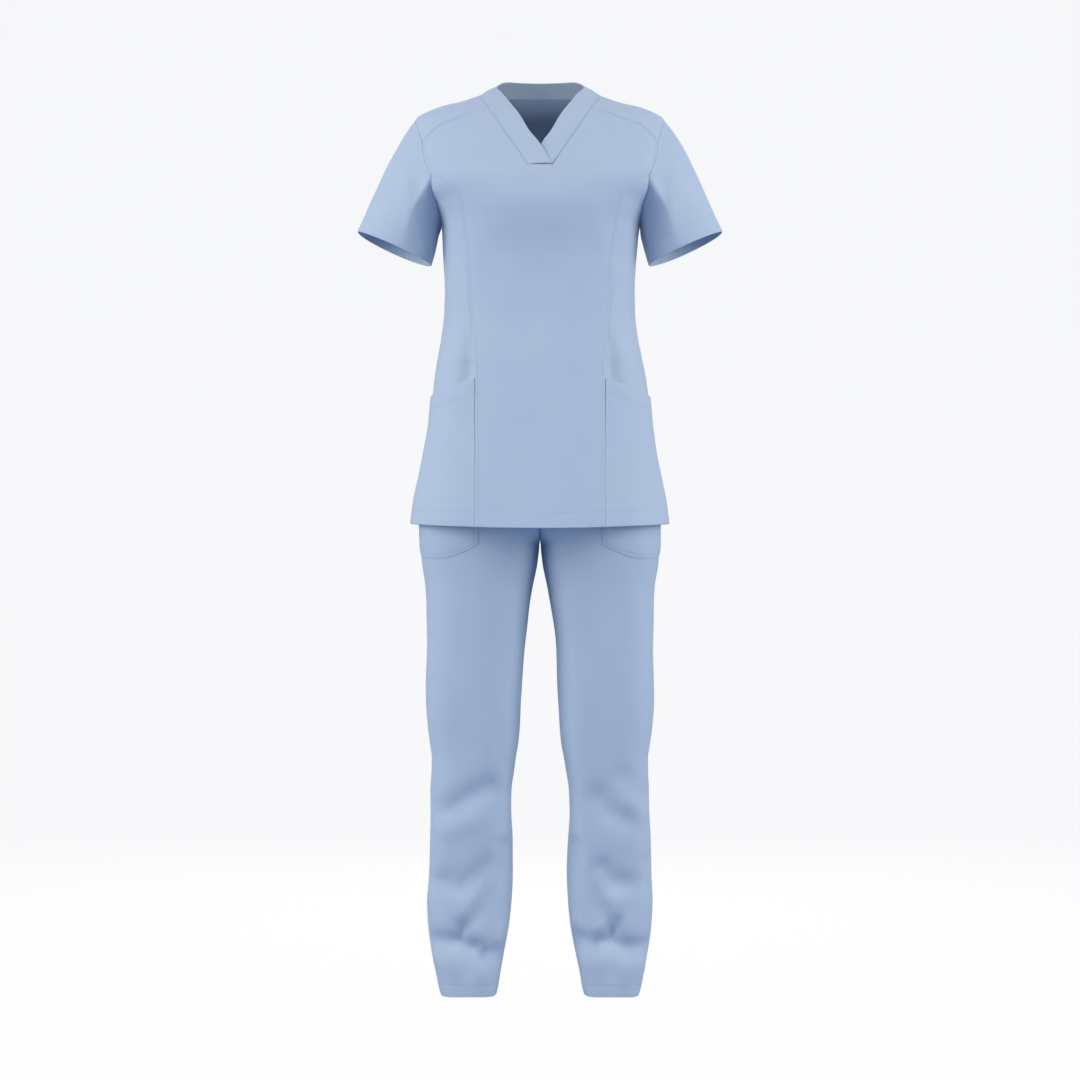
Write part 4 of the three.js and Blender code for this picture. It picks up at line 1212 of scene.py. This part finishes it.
band_along = np.gradient(band_seam + band_edge, axis=0)
band_normal = unit(smoothed_line(unit(np.cross(band_along, band_edge - band_seam))))
band_lines = edge_lines(EDGE_STITCH)
band_distance = spaced(band_lines, edge_lines(), band_width, BAND_ROWS)
band_share = band_distance / band_width
position = np.arange(len(band_seam)) / FINE
seam_tuck, middle_tuck, edge_tuck = [np.interp(position, np.arange(len(v)), v) for v in LAP_TUCK.values()]
tucked = np.where(
    band_share < 0.5,
    seam_tuck + (middle_tuck - seam_tuck) * 2 * band_share,
    middle_tuck + (edge_tuck - middle_tuck) * (2 * band_share - 1),
)
seam_run = run_along(band_seam)
over = np.exp(-(((seam_run[-1] - seam_run) / LAP_STAND["reach"]) ** 2))
under_lap = np.exp(-((seam_run / LAP_STAND["reach"]) ** 2))
lifted = smoothstep(LAP_STAND["steepness"] * band_share - LAP_STAND["start"])
stand = LAP_STAND["most"] * (over - under_lap) * lifted
bow = BAND_BOW * np.sin(math.pi * band_share) - tucked + stand
to_seam, to_edge = band_distance, band_width - band_distance
to_end = np.minimum(seam_run, seam_run[-1] - seam_run)
band_drop = np.maximum(rolled(to_seam, BAND_ROLL["outside"]), rolled(to_edge, BAND_ROLL["outside"]))
band_out = bow - np.maximum(band_drop, rolled(to_end, BAND_ROLL["end"]))
under_roll = rolled(to_edge, BAND_ROLL["under_edge"]) + rolled(to_seam, BAND_ROLL["under_seam"])
band_under = bow - BAND_CLOTH + under_roll
band_place = band_seam + (band_edge - band_seam) * band_share[..., None]
band_place = band_place + both_sides(form_normal(tunic, *neck_half.T)) * waves(band_seam)[:, None]
band = {
    "outer": band_place + band_normal * band_out[..., None],
    "inner": band_place + band_normal * np.minimum(band_under, band_out - THINNEST)[..., None],
    "uv": points_of(run_along(band_edge), band_distance),
}
shell("tunic_neck_band", "neck_band", band)
band_stitch = list(band_lines).index(EDGE_STITCH)
stitch_lines["tunic"].append(((band["outer"] + band_normal * THREAD_LIFT)[band_stitch], False))
print("neck band, points:", band["outer"].shape)

# %% [markdown]
# ## Trousers
# Each leg is a front and a back panel, joined at the side seam and the inseam. The two legs meet in the
# centre seam, which curves down and round at the crotch.

# %% Cut the leg panels
TROUSER_HEM = 20
LEG_HEM_RISE = {"sides": 6, "front": 13, "reach": 40}
LEG_COLUMNS = 12
LEG_STEP = 4.2
LINES_PER_COLUMN = 5


def leg_position(u, row_height, facing):
    """Angle and height at u across a panel, from the side seam to the inseam or the centre seam."""
    round_leg = np.sin(math.pi * u) ** 2
    rise = LEG_HEM_RISE["sides"] * (1 - round_leg)
    if facing < 0:
        rise = rise + LEG_HEM_RISE["front"] * round_leg
    z = row_height + rise * np.exp(-(((row_height - LEG_HEM) / LEG_HEM_RISE["reach"]) ** 2))
    middle = middle_angle(z)
    last = centre_angle(z)
    angle = np.where(u <= 0.5, 2 * u * middle, middle + (2 * u - 1) * (last - middle))
    return facing * angle, z


def heights(low, high, bottom, top, count):
    """Heights from bottom to top: the lines of both edges, and even ones between."""
    return bottom + spaced(low, high, np.array([top - bottom]), count)[:, 0]


hem_lines = edge_lines(TROUSER_HEM)
turn_up = np.linspace(ROLL_LINES[-1], hem_lines[len(ROLL_LINES)], 5)[1:-1]
hem_lines = np.sort(np.concatenate([hem_lines, turn_up]))
leg_rows = int((PANEL_TOP - LEG_HEM) / LEG_STEP) - 2
row_heights = heights(hem_lines, edge_lines(), LEG_HEM, PANEL_TOP, leg_rows)
hem_row = list(hem_lines).index(TROUSER_HEM)


def leg_grid(place, rows, columns, sides, bottom, top):
    """The points of a panel on the leg, where place(u, height) gives its angle and height."""
    coarse_u = np.linspace(0, 1, LEG_COLUMNS + 1)[: columns + 1]
    coarse = leg_form(*place(coarse_u[None], rows[:, None]))
    across = np.linalg.norm(np.diff(coarse, axis=1), axis=-1)
    s = positions(*sides, across[:, 0], across[:, -1], columns, LINES_PER_COLUMN)
    angle, z = place(s / LEG_COLUMNS, rows[:, None])
    up = np.repeat(rows[:, None], s.shape[1], 1)
    distances = [up - bottom, top - up, s * across[:, :1], (columns - s) * across[:, -1:]]
    return {"angle": angle, "z": z, "distances": distances}


def leg_cut(panel, kinds, side, facing, **lie):
    cut = sewn(panel, kinds, legs[side], side, **lie)
    if facing < 0:
        cut = {name: values[:, ::-1] for name, values in cut.items()}
    return cut


leg_kinds = [hem_edge(TROUSER_HEM), seam_edge(), seam_edge(), seam_edge()]
seam_sides = (edge_lines(), edge_lines())
for facing, name in ((-1, "front"), (1, "back")):
    panel = leg_grid(
        lambda u, z: leg_position(u, z, facing), row_heights, LEG_COLUMNS, seam_sides, LEG_HEM, PANEL_TOP
    )
    for side, word in SIDES.items():
        cut = leg_cut(panel, leg_kinds, side, facing)
        shell(f"trousers_{name}{word}", f"leg_{name}{word}", cut)
        stitch_lines["trousers"].append(((cut["outer"] + cut["normal"] * THREAD_LIFT)[hem_row], False))
print("leg panels, points:", cut["outer"].shape)

# %% [markdown]
# ## Front pockets of the trousers
# A patch pocket with a rounded inner corner lies on each front leg. Its top is hidden under the tunic.
# Two edges are folded and stitched down, and the side seam holds the third.

# %% Cut the front pockets
TROUSER_POCKET_BOTTOM = -740
TROUSER_POCKET_TOP = -566
TROUSER_POCKET_ROWS = 40
SIDE_LIFT = {"rise": 11, "width": 0.25}
CORNER_LIFT = {"rise": 22, "width": 0.2, "sharpness": 1.5}
LIFT_REACH = 30
POCKET_STITCH = 6
EDGE_BASE = 0.8


def pocket_position(u, row_height):
    """Angle and height on the pocket. Its lower edge rises to the side seam and round the corner."""
    side_rise = SIDE_LIFT["rise"] * np.clip(1 - u / SIDE_LIFT["width"], 0, 1) ** 2
    corner = np.clip(1 - abs(u - 0.5) / CORNER_LIFT["width"], 0, 1) ** CORNER_LIFT["sharpness"]
    near = np.exp(-(((row_height - TROUSER_POCKET_BOTTOM) / LIFT_REACH) ** 2))
    z = row_height + (side_rise + CORNER_LIFT["rise"] * corner) * near
    return -2 * u * middle_angle(z), z


seam_lines = edge_lines()
fold_lines = edge_lines(POCKET_STITCH)
pocket_ends = (TROUSER_POCKET_BOTTOM, TROUSER_POCKET_TOP)
trouser_pocket = leg_grid(
    pocket_position,
    heights(fold_lines, seam_lines, *pocket_ends, TROUSER_POCKET_ROWS),
    LEG_COLUMNS // 2,
    (seam_lines, fold_lines),
    *pocket_ends,
)
trouser_pocket_kinds = [hem_edge(POCKET_STITCH), seam_edge(), seam_edge(), hem_edge(POCKET_STITCH)]
pocket_edge = np.minimum(trouser_pocket["distances"][0], trouser_pocket["distances"][3])
trouser_base = EDGE_BASE + (POCKET_BASE - EDGE_BASE) * smoothstep(pocket_edge / PRESSED)
for side, word in SIDES.items():
    cut = leg_cut(trouser_pocket, trouser_pocket_kinds, side, -1, base=trouser_base, lowest=PANEL_GAP)
    shell("trousers_pocket" + word, "trouser_pocket" + word, cut)
    # The front leg's columns run from the inseam to the side seam, so the folded edge comes first.
    lines = (fold_lines, seam_lines, seam_lines, fold_lines)
    keep_stitches("trousers", cut, trouser_pocket_kinds, lines, -side)
print("trouser pockets, points:", cut["outer"].shape)

# %% [markdown]
# ## Waistband
# The waistband is a ring above the four leg panels. The tunic hides it, so it is a plain band with a
# rounded upper edge.

# %% Cut the waistband
WAIST_LINES = np.linspace(-485, -459, 7)
waist_rows = np.concatenate([PANEL_TOP + edge_lines(), WAIST_LINES, WAIST_TOP - edge_lines()[::-1]])
half_turn = np.linspace(-QUARTER, QUARTER, 79)
waist_angle, waist_z = np.meshgrid(half_turn, waist_rows)
half_place = leg_form(waist_angle, waist_z)
half_normal = form_normal(leg_form, waist_angle, waist_z)


def whole_waist(half):
    """Joins the left half, from front to back, and the right half, from back to front."""
    return np.concatenate([half[:, :-1], (half * (-1, 1, 1))[:, :0:-1]], 1)


waist_place = whole_waist(half_place)
waist_normal = whole_waist(half_normal)
waist_z = np.repeat(waist_rows[:, None], waist_place.shape[1], 1)
out, thickness = relief([(seam_edge(), waist_z - PANEL_TOP), (hem_edge(None), WAIST_TOP - waist_z)])
outer = waist_place + waist_normal * out[..., None]
inner = waist_place - waist_normal * np.maximum(thickness, THINNEST - out)[..., None]
waist = {"outer": outer, "inner": inner, "uv": cloth_map(outer)}
shell("trousers_waistband", "waistband", waist, ring=True)
print("waistband, points:", outer.shape)

# %% [markdown]
# ## Stitches
# A lockstitch shows as a row of short, equal bars of thread with small gaps, nine or so to the inch. Hems,
# pocket edges and topstitched seams all carry one. Each could be modelled by hand, but they only differ
# in place, so a Geometry Nodes tree lays one small bar at each step along a line, turned along it.


# %% Build the stitch tree
STITCH = {"Pitch": 0.0028, "Length": 0.0022, "Radius": 0.0002}
tree = bpy.data.node_groups.new("stitches", "GeometryNodeTree")
tree_inputs = {}
float_kinds = {name: "NodeSocketFloat" for name in STITCH}
for name, kind in {"Lines": "NodeSocketGeometry", **float_kinds, "Thread": "NodeSocketMaterial"}.items():
    socket = tree.interface.new_socket(name, in_out="INPUT", socket_type=kind)
    tree_inputs[name] = socket.identifier
    if name in STITCH:
        socket.default_value = STITCH[name]
tree.interface.new_socket("Stitches", in_out="OUTPUT", socket_type="NodeSocketGeometry")
board = Board(tree)
given = tree.nodes.new("NodeGroupInput")
lines_in, pitch_in, length_in, radius_in, thread_in = [Wire(board, given.outputs[k]) for k in range(5)]
curves = board.node("GeometryNodeMeshToCurve", sockets={"Mesh": lines_in})
by_length = {"Curve": curves, "Length": pitch_in}
points = board.node("GeometryNodeCurveToPoints", {"mode": "LENGTH"}, by_length)
tangent = points.output("Tangent")
turned_along = board.node("FunctionNodeAlignRotationToVector", {"axis": "Z"}, {"Vector": tangent})
bar = board.node("GeometryNodeMeshUVSphere", sockets={"Segments": 6, "Rings": 4, "Radius": 1.0})
size = board.node("ShaderNodeCombineXYZ", sockets={0: radius_in, 1: radius_in, 2: length_in * 0.5})
laid = board.node(
    "GeometryNodeInstanceOnPoints",
    sockets={"Points": points, "Instance": bar, "Rotation": turned_along, "Scale": size},
)
real = board.node("GeometryNodeRealizeInstances", sockets={"Geometry": laid})
finished = board.node("GeometryNodeSetMaterial", sockets={"Geometry": real, "Material": thread_in})
result = tree.nodes.new("NodeGroupOutput")
tree.links.new(finished.socket, result.inputs[0])
print("stitch tree, nodes:", len(tree.nodes))


# %% Lay the stitches of each garment
def stitches(name, lines):
    vertices = []
    edges = []
    for line, closed in lines:
        first = len(vertices)
        vertices += (np.asarray(line) * MM).tolist()
        edges += [(k, k + 1) for k in range(first, len(vertices) - 1)]
        if closed:
            edges.append((len(vertices) - 1, first))
    mesh = bpy.data.meshes.new(name + "_lines")
    mesh.from_pydata(vertices, edges, [])
    guide = placed(name + "_lines", mesh)
    modifier = guide.modifiers.new("stitches", "NODES")
    modifier.node_group = tree
    for input_name, value in {**STITCH, "Thread": thread}.items():
        modifier[tree_inputs[input_name]] = value
    evaluated = guide.evaluated_get(bpy.context.evaluated_depsgraph_get())
    made = bpy.data.meshes.new_from_object(evaluated)
    made.name = name
    made.polygons.foreach_set("use_smooth", np.ones(len(made.polygons), bool))
    piece = placed(name, made)
    bpy.data.objects.remove(guide)
    return piece


for garment, lines in stitch_lines.items():
    piece = stitches(garment + "_stitches", lines)
    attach(piece, "root")
    print(garment, "lines of stitches:", len(lines), "faces:", len(piece.data.polygons))

# %% [markdown]
# ## Studio
# A pale round floor that curves up into a pale wall gives an even ground with no edge from any side. Two
# wide soft lights stand left and right, a weaker one is above, and one behind lights the back. So the
# sides of the cloth are a little brighter than its middle, and no shadow is hard. Shade looks bluer than
# lit cloth, because the light from all round is blue, and less of it comes from below.

# %% Build the studio
FLOOR_HEIGHT = -1.75
FLOOR_RADIUS = 11
FLOOR_START = 0.02
WALL_HEIGHT = 14
BEND = 2.5
BEND_STEPS = 16
SIDES_ROUND = 96
profile = [(radius, FLOOR_HEIGHT) for radius in (FLOOR_START, FLOOR_RADIUS * 0.5, FLOOR_RADIUS - BEND)]
for k in range(1, BEND_STEPS + 1):
    bend = QUARTER * k / BEND_STEPS
    radius = FLOOR_RADIUS - BEND * (1 - math.sin(bend))
    profile.append((radius, FLOOR_HEIGHT + BEND * (1 - math.cos(bend))))
profile.append((FLOOR_RADIUS, WALL_HEIGHT))
PAPER = {
    "Base Color": (0.1, 0.1, 0.1, 1),
    "Roughness": 1,
    "Specular IOR Level": 0,
    "Emission Color": (1, 1, 1, 1),
    "Emission Strength": 0.89,
}
paper = bpy.data.materials.new("studio_paper")
paper.use_nodes = True
for name, value in PAPER.items():
    paper.node_tree.nodes["Principled BSDF"].inputs[name].default_value = value


def turned_paper(name, rows, closed=False):
    """A sheet of paper turned about the garment, from rows of radius and height."""
    turns = np.linspace(0, TURN, SIDES_ROUND, endpoint=False)
    vertices = [(r * math.cos(a), r * math.sin(a), z) for r, z in rows for a in turns]
    faces = []
    for row in range(len(rows) - 1):
        for k in range(SIDES_ROUND):
            after = (k + 1) % SIDES_ROUND
            low, high = row * SIDES_ROUND, (row + 1) * SIDES_ROUND
            faces.append((low + k, low + after, high + after, high + k))
    if closed:
        faces.append(tuple(range(SIDES_ROUND))[::-1])
    mesh = bpy.data.meshes.new(name)
    mesh.from_pydata(vertices, [], faces)
    mesh.polygons.foreach_set("use_smooth", [True] * len(faces))
    mesh.materials.append(paper)
    sheet = placed(name, mesh)
    sheet.visible_diffuse = False
    sheet.visible_glossy = False
    return sheet


floor = turned_paper("studio_floor", profile[:3], closed=True)
wall = turned_paper("studio_wall", profile[2:])
wall.visible_shadow = False
print("studio paper, faces:", len(floor.data.polygons) + len(wall.data.polygons))

# %% Light it
AIM = mathutils.Vector((0, 0, -0.7))
LAMP_COLOUR = (0.97, 0.945, 0.86)
LAMPS = {
    "left_light": ((3.2, -1.5, 0.1), (2.0, 2.8), 86),
    "right_light": ((-3.2, -1.5, 0.1), (2.0, 2.8), 92),
    "top_light": ((0, -2.8, 2.0), (3.0, 2.0), 16),
    "back_light": ((0, 3.6, 0.6), (3.0, 2.4), 60),
}
for name, (place, size, power) in LAMPS.items():
    light = bpy.data.lights.new(name, "AREA")
    light.shape = "RECTANGLE"
    light.size, light.size_y = size
    light.energy = power
    light.color = LAMP_COLOUR
    lamp = placed(name, light)
    lamp.location = place
    lamp.rotation_euler = (AIM - mathutils.Vector(place)).to_track_quat("-Z", "Y").to_euler()

# %% Let soft blue light in from all round
LOW_SKY = (0.13, 0.225, 0.46, 1)
HIGH_SKY = (0.42, 0.46, 0.60, 1)
world = bpy.data.worlds.new("studio")
world.use_nodes = True
sky = Board(world.node_tree)
direction = sky.node("ShaderNodeTexCoord", output=0)
height = sky.node("ShaderNodeSeparateXYZ", sockets={0: direction}, output=2)
overhead = sky.node("ShaderNodeMapRange", {"clamp": True}, {0: height, 1: -0.5, 2: 0.3, 3: 0.0, 4: 1.0})
tint = sky.mix(LOW_SKY, HIGH_SKY, overhead)
world.node_tree.links.new(tint.socket, world.node_tree.nodes["Background"].inputs["Color"])
bpy.context.scene.world = world
bpy.context.scene.view_settings.view_transform = "Standard"
print("studio built, lamps:", len(LAMPS))

# %% [markdown]
# ## Attach the pieces
# Each sheet hangs from the root, and the plain solid that it stands for is hidden. The areas of its
# faces are read.

for node, piece in pieces.items():
    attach(piece, "root")
    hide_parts(node)
    areas = np.zeros(len(piece.data.polygons))
    piece.data.polygons.foreach_get("area", areas)
